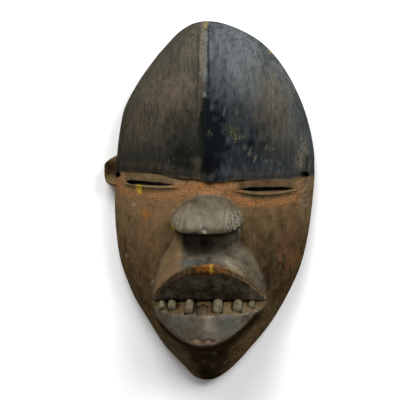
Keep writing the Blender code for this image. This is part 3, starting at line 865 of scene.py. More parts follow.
def grid_normals(points: Array) -> Array:
    """Unit normals of a grid: the cross product of its steps along columns and rows."""
    normal = np.cross(np.gradient(points, axis=1), np.gradient(points, axis=0))
    return normal / np.maximum(np.linalg.norm(normal, axis=-1, keepdims=True), 1e-12)


def make_object(name: str, points: Array, faces: list[tuple[int, ...]]) -> bpy.types.Object:
    """Make a mesh object with its faces pointing outward.

    Args:
        name: the object's name.
        points: its points, one in a row.
        faces: the corner numbers of each face.

    Returns:
        The object, in the scene and at the origin.
    """
    mesh = bpy.data.meshes.new(name)
    mesh.from_pydata(points.tolist(), [], faces)
    work = bmesh.new()
    work.from_mesh(mesh)
    bmesh.ops.recalc_face_normals(work, faces=work.faces)
    work.to_mesh(mesh)
    work.free()
    mesh.update()
    made = bpy.data.objects.new(name, mesh)
    bpy.context.scene.collection.objects.link(made)
    return made


def closed_loft(
    name: str, low: Array, grid: Array, high: Array, skirt: Sequence[tuple[float, float]]
) -> bpy.types.Object:
    """Close a grid between two tips into a solid, its outer edge carried down a skirt to a flat base.

    Args:
        name: the object's name.
        low: the tip below the first row.
        grid: the points, rows by columns.
        high: the tip above the last row.
        skirt: levels below the edge, each with how far it lies in from it; the last is the base.

    Returns:
        The solid.
    """
    rows, columns = grid.shape[:2]
    points = np.concatenate((low[None], grid.reshape(-1, 3), high[None]))
    top = len(points) - 1
    across = np.arange(columns - 1)
    last = 1 + (rows - 1) * columns
    faces = grid_faces(rows, columns, 1).tolist()
    faces += np.stack([0 * across, 2 + across, 1 + across], axis=-1).tolist()
    faces += np.stack([top + 0 * across, last + across, last + across + 1], axis=-1).tolist()
    left = 1 + np.arange(rows) * columns
    ring = np.concatenate(([0], left + columns - 1, [top], left[::-1]))
    edge = points[ring]
    centre = edge[:, :2].mean(axis=0)
    away = edge[:, :2] - centre
    away = away / np.linalg.norm(away, axis=1, keepdims=True)
    for level, inset in skirt:
        first = len(points)
        below = np.concatenate((edge[:, :2] - away * inset, np.full((len(edge), 1), level)), axis=1)
        points = np.concatenate((points, below))
        after = np.roll(np.arange(len(ring)), -1)
        faces += np.stack([ring, first + np.arange(len(ring)), first + after, ring[after]], axis=-1).tolist()
        ring = first + np.arange(len(ring))
    faces.append(ring.tolist())
    return make_object(name, points, faces)


def swept(name: str, path: Array, sides: tuple[Array, Array], radii: Array) -> bpy.types.Object:
    """Carry a round profile along a straight path and close both ends with a point.

    Args:
        name: the object's name.
        path: the stations' centres, one in a row.
        sides: two unit vectors across the path.
        radii: the radius at each station and angle, stations by angles.

    Returns:
        The solid.
    """
    stations, count = radii.shape
    angle = np.arange(count) * math.tau / count
    spoke = np.cos(angle)[:, None] * sides[0] + np.sin(angle)[:, None] * sides[1]
    body = path[:, None, :] + radii[..., None] * spoke
    points = np.concatenate((body.reshape(-1, 3), path[[0, -1]]))
    k, after = np.arange(count), np.roll(np.arange(count), -1)
    last = (stations - 1) * count
    faces = ring_faces(stations, count)
    faces += np.stack([stations * count + 0 * k, after, k], axis=-1).tolist()
    faces += np.stack([stations * count + 1 + 0 * k, last + k, last + after], axis=-1).tolist()
    return make_object(name, points, faces)


@dataclass(frozen=True)
class Pegs:
    """The six peg teeth, their beds in the lower lip and the bed of the lost tooth."""

    mouth: Mouth
    socket: float = 0.004
    clearance: float = 0.0003
    sides: int = 28
    stations: int = 30
    sizes: tuple[tuple[float, float, float], ...] = (
        (-0.468, 0.0040, 0.0108),
        (-0.362, 0.0056, 0.0122),
        (-0.185, 0.0063, 0.0198),
        (0.096, 0.0073, 0.0190),
        (0.287, 0.0066, 0.0152),
        (0.422, 0.0046, 0.0090),
    )
    lost_across: float = -0.053
    lost_width: float = 0.0085
    lost_depth: float = 0.0015
    lost_tip: float = 0.20
    lost_shoulder: float = 0.36
    lost_foot: float = 1.15

    def axis(self, across: float, shown: float) -> tuple[Array, Array, Array]:
        """A peg's axis, which lies in the lip's top: its inner end, its tip and its outward normal."""
        foot, along, normal, _ = self.mouth.slope_frame(across)
        return foot - along * self.socket, foot + along * shown, normal

    def peg(self, number: int) -> bpy.types.Object:
        """One whittled peg: a circle with a few flats, domed at the tip by the root of 1 less a power.

        Args:
            number: the peg's number from the left, from 1.

        Returns:
            The peg, with an attribute of three masks: the third peg's red-stained tip, and painted shade at
            the root and on the underside and tip end.
        """
        across, diameter, shown = self.sizes[number - 1]
        radius = diameter / 2
        start, end, normal = self.axis(across, shown)
        along = (end - start) / np.linalg.norm(end - start)
        side = np.cross(along, normal)
        length = float(np.linalg.norm(end - start))
        t = 1 - (1 - np.linspace(0.0, 1.0, self.stations)) ** 1.5
        dome = np.clip((t * length - (length - 0.75 * radius)) / (0.75 * radius), 0.0, 0.985)
        base = np.clip((0.2 * radius - t * length) / (0.2 * radius), 0.0, 0.9)
        angle = np.arange(self.sides) * math.tau / self.sides
        flats = 1 - 0.045 * np.abs(np.sin(2.5 * angle + number)) ** 3
        path = start + along * (t * length)[:, None]
        ring = path[:, None, :] + radius * np.cos(angle)[None, :, None] * side
        skin = ring + normal * np.sin(angle)[:, None] * radius
        rough = 0.03 * Noise(60 + number).layered(skin, (0.002,) * 3, 2)
        profile = np.sqrt(1 - dome**2.4) * np.sqrt(1 - base**2)
        radii = radius * profile[:, None] * (flats + rough - 0.02)
        made = swept(f"peg_{number}", path, (side, normal), radii)
        end_share = np.append(np.repeat(smooth_step((t - 0.78) / 0.2), self.sides), (0.0, 1.0))
        # Painted shade where the peg goes into the mouth.
        root = np.append(np.repeat(smooth_step((0.48 - t) / 0.25), self.sides), (1.0, 0.0))
        spoke = np.tile(np.sin(angle), self.stations)
        # Painted shade on the side that lies on the lip and, by the amounts below, on each tip's end face;
        # the third peg's tip is stained red instead.
        lower = np.append(smooth_step(-spoke * 1.3 + 0.62), (0.5, 0.5))
        stained, worn = (1.0, 0.2) if number == 3 else (0.0, 0.95 if number < 3 else 0.4)
        add_attribute(made, "age", (stained * end_share, root, np.maximum(lower, worn * end_share)))
        return made

    def bed(self, number: int) -> bpy.types.Object:
        """The bed that a peg sits in, its own round shape with the clearance all round.

        Args:
            number: the peg's number from the left, from 1.

        Returns:
            The cutter.
        """
        across, diameter, shown = self.sizes[number - 1]
        start, end, normal = self.axis(across, shown)
        along = (end - start) / np.linalg.norm(end - start)
        path = np.stack([start - along * self.clearance, end + along * self.clearance])
        radii = np.full((2, self.sides), diameter / 2 + self.clearance)
        return swept(f"bed_{number}", path, (np.cross(along, normal), normal), radii)

    def lost_bed(self) -> bpy.types.Object:
        """The shallow bed of the lost tooth: pointed at its upper end and open at the lip's front."""
        foot, along, normal, length = self.mouth.slope_frame(self.lost_across)
        side = np.cross(along, normal) * self.lost_width / 2
        ways = (self.lost_tip, self.lost_shoulder, self.lost_foot)
        tip, shoulder, end = (foot + along * length * way for way in ways)
        points = []
        for lift, flare in ((-self.lost_depth, 0.90), (3 * self.lost_depth, 1.2)):
            out = side * flare
            ring = (tip, shoulder + out, end + out, end - out, shoulder - out)
            points += [corner + normal * lift for corner in ring]
        faces = ring_faces(2, 5) + [[4, 3, 2, 1, 0], [5, 6, 7, 8, 9]]
        return make_object("lost_bed", np.array(points), faces)


@dataclass(frozen=True)
class Shell:
    """The carved mask itself: front, edge, lug, hollow, slits, tie holes and beds."""

    face: CarvedFace
    relief: Relief
    pegs: Pegs
    hollow_rows: int = 96
    hollow_columns: int = 72
    adze_marks: float = 0.45 * MM
    slit_height: float = 0.0029
    slit_depth: float = 0.024
    slit_wander: float = 0.0006
    lug_level: float = 0.165
    lug_reach: float = 0.0080
    lug_height: float = 0.023
    lug_low: float = 0.003
    lug_thickness: float = 0.016
    lug_outline: tuple[tuple[float, float], ...] = (
        (-0.85, 1.0),
        (0.0, 1.0),
        (0.92, 0.50),
        (1.0, 0.30),
        (0.98, -0.35),
        (0.78, -0.80),
        (0.09, -1.0),
        (-0.85, -1.0),
    )
    hole_level: float = 0.145
    hole_diameter: float = 0.0036
    hole_insets: tuple[float, float] = (0.0029, 0.0058)
    past: float = 0.004
    right_limit: float = 0.07455
    skirt: tuple[tuple[float, float], ...] = (
        (0.0055, 0.00005), (0.003, 0.0001), (0.0012, 0.00025), (0.0004, 0.0005), (0.0, 0.0009),
    )

    def front(self) -> bpy.types.Object:
        """The outside as one solid: the grid of heights, smoothed, with the fine relief along its normals."""
        outline = self.face.outline
        u, v = FaceGrid(self.face).shares()
        height = self.face.height(u, v)
        height[:, [0, -1]] = outline.edge / outline.depth
        points = smoothed(outline.place(u, v, height * outline.depth), 3)
        su, sv = outline.shares(points)
        points = points + grid_normals(points) * self.relief.depth(points, su, sv)[..., None]
        points[..., 2] = np.minimum(points[..., 2], outline.depth - 0.0001)
        points[..., 0] = np.minimum(points[..., 0], self.right_limit)
        zero = np.array(0.0)
        low = outline.place(zero, np.array(-1.0), outline.edge)
        high = outline.place(zero, np.array(1.0), outline.edge)
        return closed_loft("mask_carving", low, points, high, self.skirt)

    def hollow(self) -> bpy.types.Object:
        """The hollow, a rim inside the outline and a wall below the face, with broad adze marks."""
        outline = self.face.outline
        reach = 1 - self.face.tip_rim / outline.half_height
        narrowing = 1 - self.face.rim / outline.half_width
        s = np.linspace(-1.0, 1.0, self.hollow_columns + 1)[None, :]
        spread = np.sin(math.pi / 2 * s)
        turn = np.linspace(-math.pi / 2, math.pi / 2, self.hollow_rows + 1)[1:-1, None]
        outer = np.sin(turn) + 0.0 * s
        u = outline.side(s + 0.0 * turn, outer) * narrowing * spread
        v = reach * outer
        points = outline.place(u, v, self.face.hollow(v, np.abs(spread) + 0.0 * v))
        marks = Noise(71).layered(points, (0.010, 0.020, 0.014), 2)
        calm = smooth_step((1 - np.abs(spread)) / 0.05) * np.clip((1 - outer**2) * 12, 0.0, 1.0)
        points = points + grid_normals(points) * (self.adze_marks * (np.abs(marks) - 0.5) * calm)[..., None]
        zero = np.array(0.0)
        low = outline.place(zero, np.array(-reach), self.face.flat_edge)
        high = outline.place(zero, np.array(reach), self.face.flat_edge)
        return closed_loft("hollow", low, points, high, ((-self.past, 0.0),))

    def slit(self, number: int) -> bpy.types.Object:
        """A cutter for one eye: an upright slot along the eye's line, its height a bent bow along the way.

        Args:
            number: 0 for the left eye and 1 for the right.

        Returns:
            The cutter.
        """
        start, end = self.face.eyes.spans[number]
        share = np.linspace(0.0, 1.0, 42)
        blunt, thin = (9.0, 3.0) if number == 0 else (4.0, 5.0)
        bow = np.minimum(1.0, np.minimum(0.06 + blunt * share, 0.06 + thin * (1 - share)))
        bow = bow * (1.12 - 0.42 * share) if number == 0 else bow * (0.88 + 0.14 * hump(share, 0.42, 0.25))
        way = np.stack([share * 8, 0 * share, 0 * share], axis=-1)
        wander = self.slit_wander * Noise(5 + number).at(way, (1.0, 1.0, 1.0))
        half = self.slit_height / 2 * bow / self.face.outline.half_height
        u = (start + (end - start) * share)[:, None]
        offset, lift = np.array([(-1, 1, 1, -1), (-1, -1, 1, 1)])
        line = self.face.eyes.line(u) + wander[:, None]
        points = self.face.surface(u + 0 * offset, line + offset * half[:, None], lift * self.slit_depth)
        points = points.reshape(-1, 3)
        last = len(points) - 4
        faces = ring_faces(len(share), 4) + [[0, 1, 2, 3], [last + 3, last + 2, last + 1, last]]
        return make_object(f"slit_{number + 1}", points, faces)

    def edge_x(self, side: int, level: float) -> float:
        """The x of the outline's edge at a level, on the left for -1 and on the right for 1."""
        outline, v = self.face.outline, np.array(level)
        u = outline.midline(v) + side * outline.side(np.array(float(side)), v)
        return float(u * outline.half_width) + outline.shift

    def tie_hole(self, side: int) -> bpy.types.Object:
        """A cutter for one tie hole: upright, slightly oval and wider where the cord has worn its mouth.

        Args:
            side: -1 for the left and 1 for the right.

        Returns:
            The cutter.
        """
        inset = self.hole_insets[0 if side < 0 else 1]
        x = self.edge_x(side, self.hole_level) - side * inset
        y = self.hole_level * self.face.outline.half_height
        levels = np.linspace(-self.past, self.face.outline.depth, 40)
        path = np.stack([0 * levels + x, 0 * levels + y, levels], axis=-1)
        angle = np.arange(28) * math.tau / 28
        oval = 1 + 0.10 * np.cos(2 * angle + 0.6)
        worn = 1 + 0.12 * smooth_step((levels - 0.014) / 0.02)
        radii = self.hole_diameter / 2 * worn[:, None] * oval
        return swept(f"tie_hole_{side + 2}", path, (np.array([1.0, 0, 0]), np.array([0, 1.0, 0])), radii)

    def lug(self) -> bpy.types.Object:
        """The ear lug: its outline with cut corners carried upward, drawn in at both ends."""
        edge = self.edge_x(-1, self.lug_level)
        middle, half = self.lug_level * self.face.outline.half_height, self.lug_height / 2
        ring = np.array([(edge - self.lug_reach * out, middle + half * up) for out, up in self.lug_outline])
        for _ in range(3):
            after = np.roll(ring, -1, axis=0)
            ring = np.stack([0.8 * ring + 0.2 * after, 0.2 * ring + 0.8 * after], axis=1).reshape(-1, 2)
        ring = ring[np.argsort(np.arctan2(ring[:, 1] - middle, ring[:, 0] - ring[:, 0].mean()))]
        centre = ring.mean(axis=0)
        t = np.linspace(0.0, 1.0, 22)
        levels = self.lug_low + self.lug_thickness * np.append(t, (1.0, 1.0, 1.0))
        round_off = np.sqrt(1 - np.clip(np.abs(2 * t - 1) * 1.25 - 0.25, 0.0, 0.97) ** 3)
        spread = np.append(0.80 + 0.20 * round_off, (0.60, 0.40, 0.20))
        body = centre + (ring - centre) * spread[:, None, None]
        points = np.concatenate((body, np.broadcast_to(levels[:, None, None], (*body.shape[:2], 1))), axis=-1)
        rough = Noise(81).layered(points, (0.004, 0.004, 0.004), 2) * 0.02
        points[..., :2] = centre + (points[..., :2] - centre) * (0.98 + rough)[..., None]
        count, base = len(ring), np.arange(len(ring))
        last = (len(levels) - 1) * count
        faces = ring_faces(len(levels), count) + [base.tolist(), (last + base).tolist()]
        return make_object("lug", points.reshape(-1, 3), faces)

    def build(self) -> bpy.types.Object:
        """Join the lug on and cut the hollow, slits, holes and beds in one pass each, and keep the result."""
        mask = self.front()
        lug = self.lug()
        cutters = [self.hollow(), self.slit(0), self.slit(1), self.tie_hole(-1), self.tie_hole(1)]
        cutters += [self.pegs.bed(number) for number in range(1, len(self.pegs.sizes) + 1)]
        cutters.append(self.pegs.lost_bed())
        group = bpy.data.collections.new("cutters")
        for cutter in cutters:
            group.objects.link(cutter)
        join, cut = mask.modifiers.new("lug", "BOOLEAN"), mask.modifiers.new("cuts", "BOOLEAN")
        join.operation, join.solver, join.object = "UNION", "EXACT", lug
        cut.operation, cut.solver = "DIFFERENCE", "EXACT"
        cut.operand_type, cut.collection = "COLLECTION", group
        shown = mask.evaluated_get(bpy.context.evaluated_depsgraph_get())
        carved = bpy.data.meshes.new_from_object(shown)
        mask.modifiers.clear()
        mask.data = carved
        carved.name = mask.name
        for helper in (lug, *cutters):
            bpy.data.objects.remove(helper)
        bpy.data.collections.remove(group)
        return mask


def add_attribute(piece: bpy.types.Object, name: str, channels: Sequence[Array]) -> None:
    """Store three masks, one value for each point, as a colour attribute of a piece.

    Args:
        piece: the piece.
        name: the attribute's name.
        channels: the three masks.
    """
    attribute = piece.data.color_attributes.new(name, "FLOAT_COLOR", "POINT")
    data = np.ones((len(piece.data.vertices), 4))
    for channel, values in enumerate(channels):
        data[:, channel] = np.clip(values, 0.0, 1.0)
    attribute.data.foreach_set("color", data.ravel())


class Zones:
    """The mask's points, and how far each of them lies in each part of the face, from 0 to 1."""

    corner_fade = 0.06
    line_soft = 0.006
    lip_soft = 0.010

    def __init__(self, face: CarvedFace, mask: bpy.types.Object) -> None:
        """Read the points and normals of the finished carving and work out their shares.

        Args:
            face: the carved face that the mask was built from.
            mask: the finished carving.
        """
        flat = np.empty((2, len(mask.data.vertices) * 3))
        mask.data.vertices.foreach_get("co", flat[0])
        mask.data.vertices.foreach_get("normal", flat[1])
        self.points, normals = flat.reshape(2, -1, 3)
        self.face = face
        self.u, self.v = face.outline.shares(self.points)
        self.x, self.y = self.points[:, 0] / MM, self.points[:, 1] / MM
        self.ragged = Noise(41).layered(self.points, (0.004, 0.004, 0.004), 2)
        self.fine = Noise(43).layered(self.points, (0.0016, 0.0016, 0.0016), 2)
        self.facing = smooth_step((normals[:, 2] - 0.05) / 0.25)
        self.out = np.abs(self.u) / face.outline.raised(self.v)
        self.corner = 1.0 - face.mouth.share(self.u)

    def in_mouth(self, low: Array, high: Array, soft: float) -> Array:
        """1 between two lines across the mouth, fading out at its corners."""
        return between(self.v, low, high, soft) * smooth_step(self.corner / self.corner_fade)

    def strongest(self, spots: Sequence[Mark]) -> Array:
        """The strongest of some marks at each point, on surfaces that face forward."""
        return self.facing * np.max([spot.weight(self.points, self.fine) for spot in spots], axis=0)

    def summed(self, spots: Sequence[Mark]) -> Array:
        """The sum of some marks at each point."""
        return sum(spot.weight(self.points, self.ragged) for spot in spots)

    @cached_property
    def below(self) -> Array:
        """How far a point lies below the uncut front, in metres."""
        return self.face.height(self.u, self.v) * self.face.outline.depth - self.points[:, 2]

    @cached_property
    def lug(self) -> Array:
        """The ear lug, beyond the left outline."""
        beyond = smooth_step((-self.u - self.face.outline.side(self.u, self.v) + 0.015) / 0.01)
        return beyond * between(self.y, 7.0, 35.0, 3.0)

    @cached_property
    def soot(self) -> Array:
        """The blackened forehead, down to a ragged line at the brow."""
        above = self.v - self.face.eyes.brow(self.u) + 0.002 + 0.004 * self.ragged
        return smooth_step(above / 0.008) * (1 - self.lug)

    @cached_property
    def nose(self) -> Array:
        """The block of the nose."""
        return self.face.nose.front(self.u, self.v)

    @cached_property
    def lip_edge(self) -> Array:
        """The worn line between the front and the top of the lower lip."""
        return self.face.mouth.front(self.u) + 0.008 + 0.009 * self.ragged + 0.005 * self.fine

    @cached_property
    def lip_front(self) -> Array:
        """The front of the lower lip."""
        return self.in_mouth(self.face.mouth.bottom(self.u) + 0.003, self.lip_edge, self.lip_soft)

    @cached_property
    def lip_top(self) -> Array:
        """The top of the lower lip, that the pegs lie in."""
        return self.in_mouth(self.lip_edge, self.face.mouth.teeth(self.u), self.lip_soft)

    @cached_property
    def lost_bed(self) -> Array:
        """The bed of the lost tooth."""
        cut = smooth_step((self.below - 0.0005) / 0.0005)
        return self.lip_top * cut * smooth_step((0.10 - np.abs(self.u - Pegs.lost_across)) / 0.02)

    @cached_property
    def muzzle(self) -> Array:
        """The slope between the nose and the upper lip's edge."""
        mouth = self.face.mouth
        along = between(self.v, mouth.edge(self.u) + 0.002, mouth.muzzle_top(self.u), 0.02)
        return along * smooth_step((1.0 - self.out) / self.corner_fade)

    @cached_property
    def plane(self) -> Array:
        """The flat left part of the muzzle, painted tan and lighter: bare wood, and partly painted light on
        the facet that faces the left lamp.
        """
        return self.muzzle * smooth_step((-self.x - 15.4) / 1.4)

    @cached_property
    def muzzle_edge(self) -> Array:
        """The side edges of the muzzle, painted lighter as rubbed wood and as a painted highlight along their
        crisp edge.
        """
        return between(self.v, -0.56, -0.24, 0.06) * hump(self.out, 0.965, 0.03)

    @cached_property
    def band(self) -> Array:
        """The narrow band along the upper lip's edge, wider at its middle."""
        mouth = self.face.mouth
        low = mouth.inner(self.u) - 0.012 * (1 - hump(self.u, 0.0, 0.25))
        return self.in_mouth(low, mouth.edge(self.u), self.line_soft)

    @cached_property
    def palate(self) -> Array:
        """The slope inside the open mouth."""
        mouth = self.face.mouth
        along = between(self.v, mouth.teeth(self.u) + 0.002, mouth.inner(self.u), self.line_soft)
        return along * smooth_step(self.corner / 0.05)

    @cached_property
    def lid(self) -> Array:
        """The upper lids, between the slits and the brow."""
        eyes = self.face.eyes
        up = between(self.v, eyes.line(self.u) + 0.004, eyes.brow(self.u), self.line_soft)
        return up * eyes.near(self.u, 0.10)

    @cached_property
    def rim(self) -> Array:
        """The rims of the lower lids."""
        eyes = self.face.eyes
        return hump(self.v, eyes.lower_rim(self.u), 0.0075) * eyes.near(self.u, 0.05)

    @cached_property
    def inside(self) -> Array:
        """The hollow and the rim's underside: inside the hollow's outline and no higher than its ceiling."""
        face, outline = self.face, self.face.outline
        reach = 1 - face.tip_rim / outline.half_height
        outer = np.clip(self.v / reach, -1.0, 1.0)
        half = outline.side(self.u, outer) * (1 - face.rim / outline.half_width)
        out = np.abs(self.u) / np.maximum(half, 1e-6)
        height = self.points[:, 2]
        ceiling = face.hollow(self.v, np.clip(out, 0.0, 1.0))
        under = smooth_step((ceiling + 0.0035 - height) / 0.002) * smooth_step((1.03 - out) / 0.02)
        return np.maximum(under, smooth_step((0.0012 - height) / 0.0008))


def mixed(first: Array, second: Array | float, share: Array) -> Array:
    """Go from one value to another with a share."""
    return first * (1 - share) + share * second


@dataclass(frozen=True)
class Patina:
    """Where the soot, dust, wear, grime and chips lie on the mask, and the painted shade, shadows, sheen and
    reflections, as masks over its points.
    """

    left_tone: Curve = Curve(
        (-1.0, 0.22), (-0.85, 0.40), (-0.68, 0.36), (-0.45, 0.30), (-0.30, 0.38), (-0.10, 0.68), (0.1, 0.88),
    )
    right_tone: Curve = Curve(
        (-1.0, 0.22), (-0.85, 0.38), (-0.68, 0.34), (-0.45, 0.16), (-0.30, 0.24), (-0.10, 0.54), (0.1, 0.70),
    )
    soot_tone: float = 0.34
    # Darkened discs over the tie holes, which paint shade down their walls.
    hole_dark_spots: tuple[tuple[float, float], ...] = ((-65.0, 18.5), (67.2, 18.5))
    hole_dark_radius: float = 3.0
    warm_patch: Mark = Mark(48.0, 60.0, 12.0, 30.0, 0.75, 8, 0.5, 1.4)
    # Tone added to the wood; the first mark lightens the lower lip's middle facet, a painted highlight.
    wear: tuple[Mark, ...] = marks(
        (2.2, -86.1, 5.0, 7.5, 0.22, 0, 0.7, 0.6), (-18.0, -83.4, 8.0, 6.0, 0.07, 0, 0.4, 0.5),
        (20.4, -80.0, 7.5, 2.4, 0.22, 8, 0.9, 0.7), (-7.5, -92.0, 4.0, 4.0, -0.12, 0, 0.6, 0.8),
        (22.5, -49.5, 11.0, 1.5, 0.34, -44, 0.5, 0.8), (15.0, -41.5, 9.0, 3.0, 0.10, -30, 0.7, 1.0),
        (-1.0, -6.0, 13.0, 5.0, -0.10, 0, 0.7, 1.0), (0.0, -45.0, 12.0, 4.0, -0.18, 0, 0.5, 0.8),
        (27.0, -40.0, 8.0, 9.0, 0.12, 0, 0.7, 1.0), (-40.0, -30.0, 9.0, 16.0, 0.06, 10, 0.9, 1.0),
        (-52.0, -36.0, 7.0, 10.0, -0.07, 0, 0.9, 1.0), (44.0, -30.0, 10.0, 18.0, -0.05, 0, 0.9, 1.0),
    )
    # Tone marks on the soot: the raised ones paint the forehead's sheen, strongest high on the right lobe,
    # except the one down the middle line's top, which is wear; the lowered ones are darker patina.
    light: tuple[Mark, ...] = marks(
        (-42.4, 98.5, 35.6, 28.5, 0.2, 0, 0.2, 1.4), (-7.1, 108.1, 8.3, 27.8, 0.12, 0, 0.2, 1.2),
        (-15.3, 43.2, 13.1, 18.5, -0.24, 0, 0.5, 1.6), (-37.6, 28.1, 31.3, 9.7, -0.16, 0, 0.3, 1.2),
        (0.7, 45.2, 4.8, 29.0, -0.5, 0, 0.3, 0.7), (8.2, 40.4, 6.2, 29.0, -0.26, 0, 0.3, 1.1),
        (26.0, 54.3, 16.6, 22.1, -0.2, 0, 0.4, 1.4), (39.0, 29.5, 29.1, 13.9, -0.15, 0, 0.4, 1.4),
        (20.6, 104.8, 18.1, 18.1, 0.4, -25, 0.5, 1.4), (38.6, 85.5, 18.1, 19.5, 0.24, -30, 0.5, 1.4),
        (58.6, 59.9, 9.8, 29.4, 0.12, 8, 0.4, 1.3), (55.8, 94.3, 10.0, 10.0, 0.2, -30, 0.6, 1.2),
        (-1.8, 106.0, 2.5, 20.8, 0.42, 0, 0.5, 0.6), (14.4, 119.6, 16.8, 6.3, 0.16, -10, 0.4, 1.2),
    )
    brown: tuple[Mark, ...] = marks(
        (-24.6, 69.6, 14.5, 16.6, 0.85, -10, 0.9, 1.1), (-47.2, 54.7, 7.7, 9.1, 0.75, 0, 0.9, 1),
        (-39.2, 69.9, 9.7, 13.9, 0.35, 0, 0.9, 1), (46.4, 61.6, 12.5, 23.7, 0.3, 0, 0.6, 1.3),
        (66.9, 24.9, 5.6, 16.9, 0.55, 0, 0.6, 0.9), (-45.0, 22.7, 20.9, 3.5, 0.45, 0, 0.4, 1),
        (38.9, 17.0, 25.0, 2.4, 0.5, 0, 0.4, 0.8), (-0.4, 16.3, 6.9, 2.8, 0.5, 0, 0.4, 0.8),
    )
    ochre: tuple[Mark, ...] = marks(
        (1.6, 8.7, 22.9, 6.2, 1, 0, 0.5, 0.6), (-62.1, 11.6, 4.2, 8.5, 1, 10, 0.5, 0.6),
        (64.1, 5.3, 3.5, 8.4, 0.75, -8, 0.6, 0.7), (-32.2, -3.1, 15.3, 6.3, 0.4, 0, 0.9, 1),
        (-42.3, -8.7, 8.4, 5.6, 0.45, 0, 0.9, 1), (59.1, -41.9, 8.4, 7.0, 0.3, 0, 0.9, 1),
        (-17.9, 7.3, 6.9, 5.6, 0.9, 0, 0.5, 0.6), (18.1, 3.1, 8.3, 4.9, 0.8, 0, 0.5, 0.7),
        (64.8, 17.9, 3.5, 4.2, 0.3, 0, 0.9, 0.8), (-50.9, -41.7, 16.8, 21.0, 0.16, 0, 0.9, 1.2),
    )
    orange: tuple[Mark, ...] = marks(
        (0.9, -46.5, 8.2, 2.5, 1, 3, 0.5, 0.5), (12.4, -48.3, 6.2, 2.1, 0.6, -14, 0.7, 0.6),
        (-42.3, -9.4, 3.5, 2.4, 0.55, 0, 0.7, 0.8), (-4.3, 8.3, 2.8, 1.5, 0.6, 20, 0.8, 0.7),
        (-47.3, 8.0, 4.2, 3.5, 0.35, 0, 0.8, 0.8), (42.9, -1.7, 13.9, 2.8, 0.25, 0, 0.8, 0.8),
        (-4.9, -97.0, 2.6, 1.2, 0.45, 0, 0.8, 0.8),
    )
    yellow: tuple[Mark, ...] = marks(
        (-47.2, 9.4, 2.5, 2.2, 1, 0, 0.3, 0.4), (-47.0, 6.6, 1.5, 2.5, 1, 0, 0.4, 0.5),
        (3.7, 47.3, 0.6, 1.3, 0.5, 0, 0.4, 0.5), (43.5, 105.6, 2.1, 1.4, 0.45, -40, 0.6, 0.6),
        (-22.7, -18.8, 1.1, 2.4, 1, 20, 0.4, 0.4), (5.3, -47.2, 1.0, 2.3, 0.9, 0, 0.4, 0.5),
        (-1.3, 124.1, 1.5, 3.5, 0.25, 0, 0.8, 0.6),
    )
    olive: tuple[Mark, ...] = marks(
        (18.5, 48.7, 3.2, 2.9, 0.9, 0, 1.2, 0.7), (21.3, 43.2, 3.2, 2.9, 0.8, 0, 1.2, 0.7),
        (2.5, 46.5, 1.7, 2.3, 0.5, 0, 0.9, 0.7), (60.0, 93.6, 4.3, 6.4, 0.3, 30, 1, 0.9),
        (66.9, 28.5, 2.8, 6.3, 0.3, 0, 1, 0.9),
    )
    # The pale marks along the nose's edges and creases and the one left of the forehead's middle line are
    # painted highlights on those edges; the others are chips, scratches and specks.
    pale: tuple[Mark, ...] = marks(
        (-0.6, 73.5, 1.0, 1.9, 0.9, 0, 0.5, 0.5), (13.2, 61.8, 0.6, 3.5, 0.5, -8, 0.5, 0.7),
        (21.6, 61.2, 0.7, 2.1, 0.4, 0, 0.5, 0.7), (24.0, 60.1, 1.5, 0.7, 0.4, 0, 0.5, 0.7),
        (27.4, 37.0, 1.5, 1.4, 0.5, 30, 1.2, 0.7), (30.5, 33.6, 1.2, 1.8, 0.55, -30, 1.2, 0.7),
        (34.2, 28.8, 0.8, 2.2, 0.55, -10, 1, 0.7), (41.7, 27.1, 1.8, 0.7, 0.5, 0, 1, 0.7),
        (45.4, 25.0, 0.7, 2.1, 0.45, 0, 1, 0.7), (49.9, 26.5, 1.7, 0.7, 0.45, 0, 1, 0.7),
        (42.4, 36.4, 1.1, 1.2, 0.35, 0, 1, 0.7), (47.2, 36.5, 1.0, 1.8, 0.35, -20, 1, 0.7),
        (-23.2, 28.0, 1.5, 0.8, 0.4, 0, 1, 0.7), (-10.5, 35.6, 1.2, 0.8, 0.3, 0, 1, 0.7),
        (0.2, -21.2, 1.6, 1.2, 0.85, -20, 0.6, 0.5), (15.4, -11.3, 1.2, 6.9, 0.42, -3, 0.5, 0.8),
        (-12.9, -8.6, 1.4, 7.6, 0.42, -18, 0.6, 0.8), (-16.1, -17.5, 0.9, 2.7, 0.5, -15, 0.6, 0.8),
        (-2.2, -17.5, 0.8, 2.7, 0.4, -12, 0.6, 0.8), (-38.1, -56.3, 1.1, 0.8, 0.5, 0, 0.6, 0.6),
        (67.2, -43.8, 0.9, 1.8, 0.7, 0, 0.6, 0.6), (-51.9, -3.1, 1.4, 2.1, 0.35, -20, 0.6, 0.7),
        (-57.8, -38.4, 0.8, 1.4, 0.5, 0, 0.6, 0.7), (-5.7, -96.2, 1.8, 1.2, 0.4, 0, 0.6, 0.5),
        (67.6, 34.1, 2.1, 3.5, 0.3, 0, 1.2, 0.8), (64.2, 27.0, 2.1, 3.5, 0.3, 0, 1.2, 0.8),
        (38.7, 78.3, 18.1, 20.9, 0.1, 0, 0.9, 1.2), (-3.9, 92.0, 0.5, 26.0, 0.55, 0, 0.8, 0.8),
        (3.0, -116.5, 0.5, 1.4, 0.3, 25, 0.9, 0.8), (-2.6, -113.0, 0.4, 1.2, 0.2, -20, 0.9, 0.8),
        (5.4, -107.5, 0.4, 1.2, 0.2, 20, 0.9, 0.8),
    )
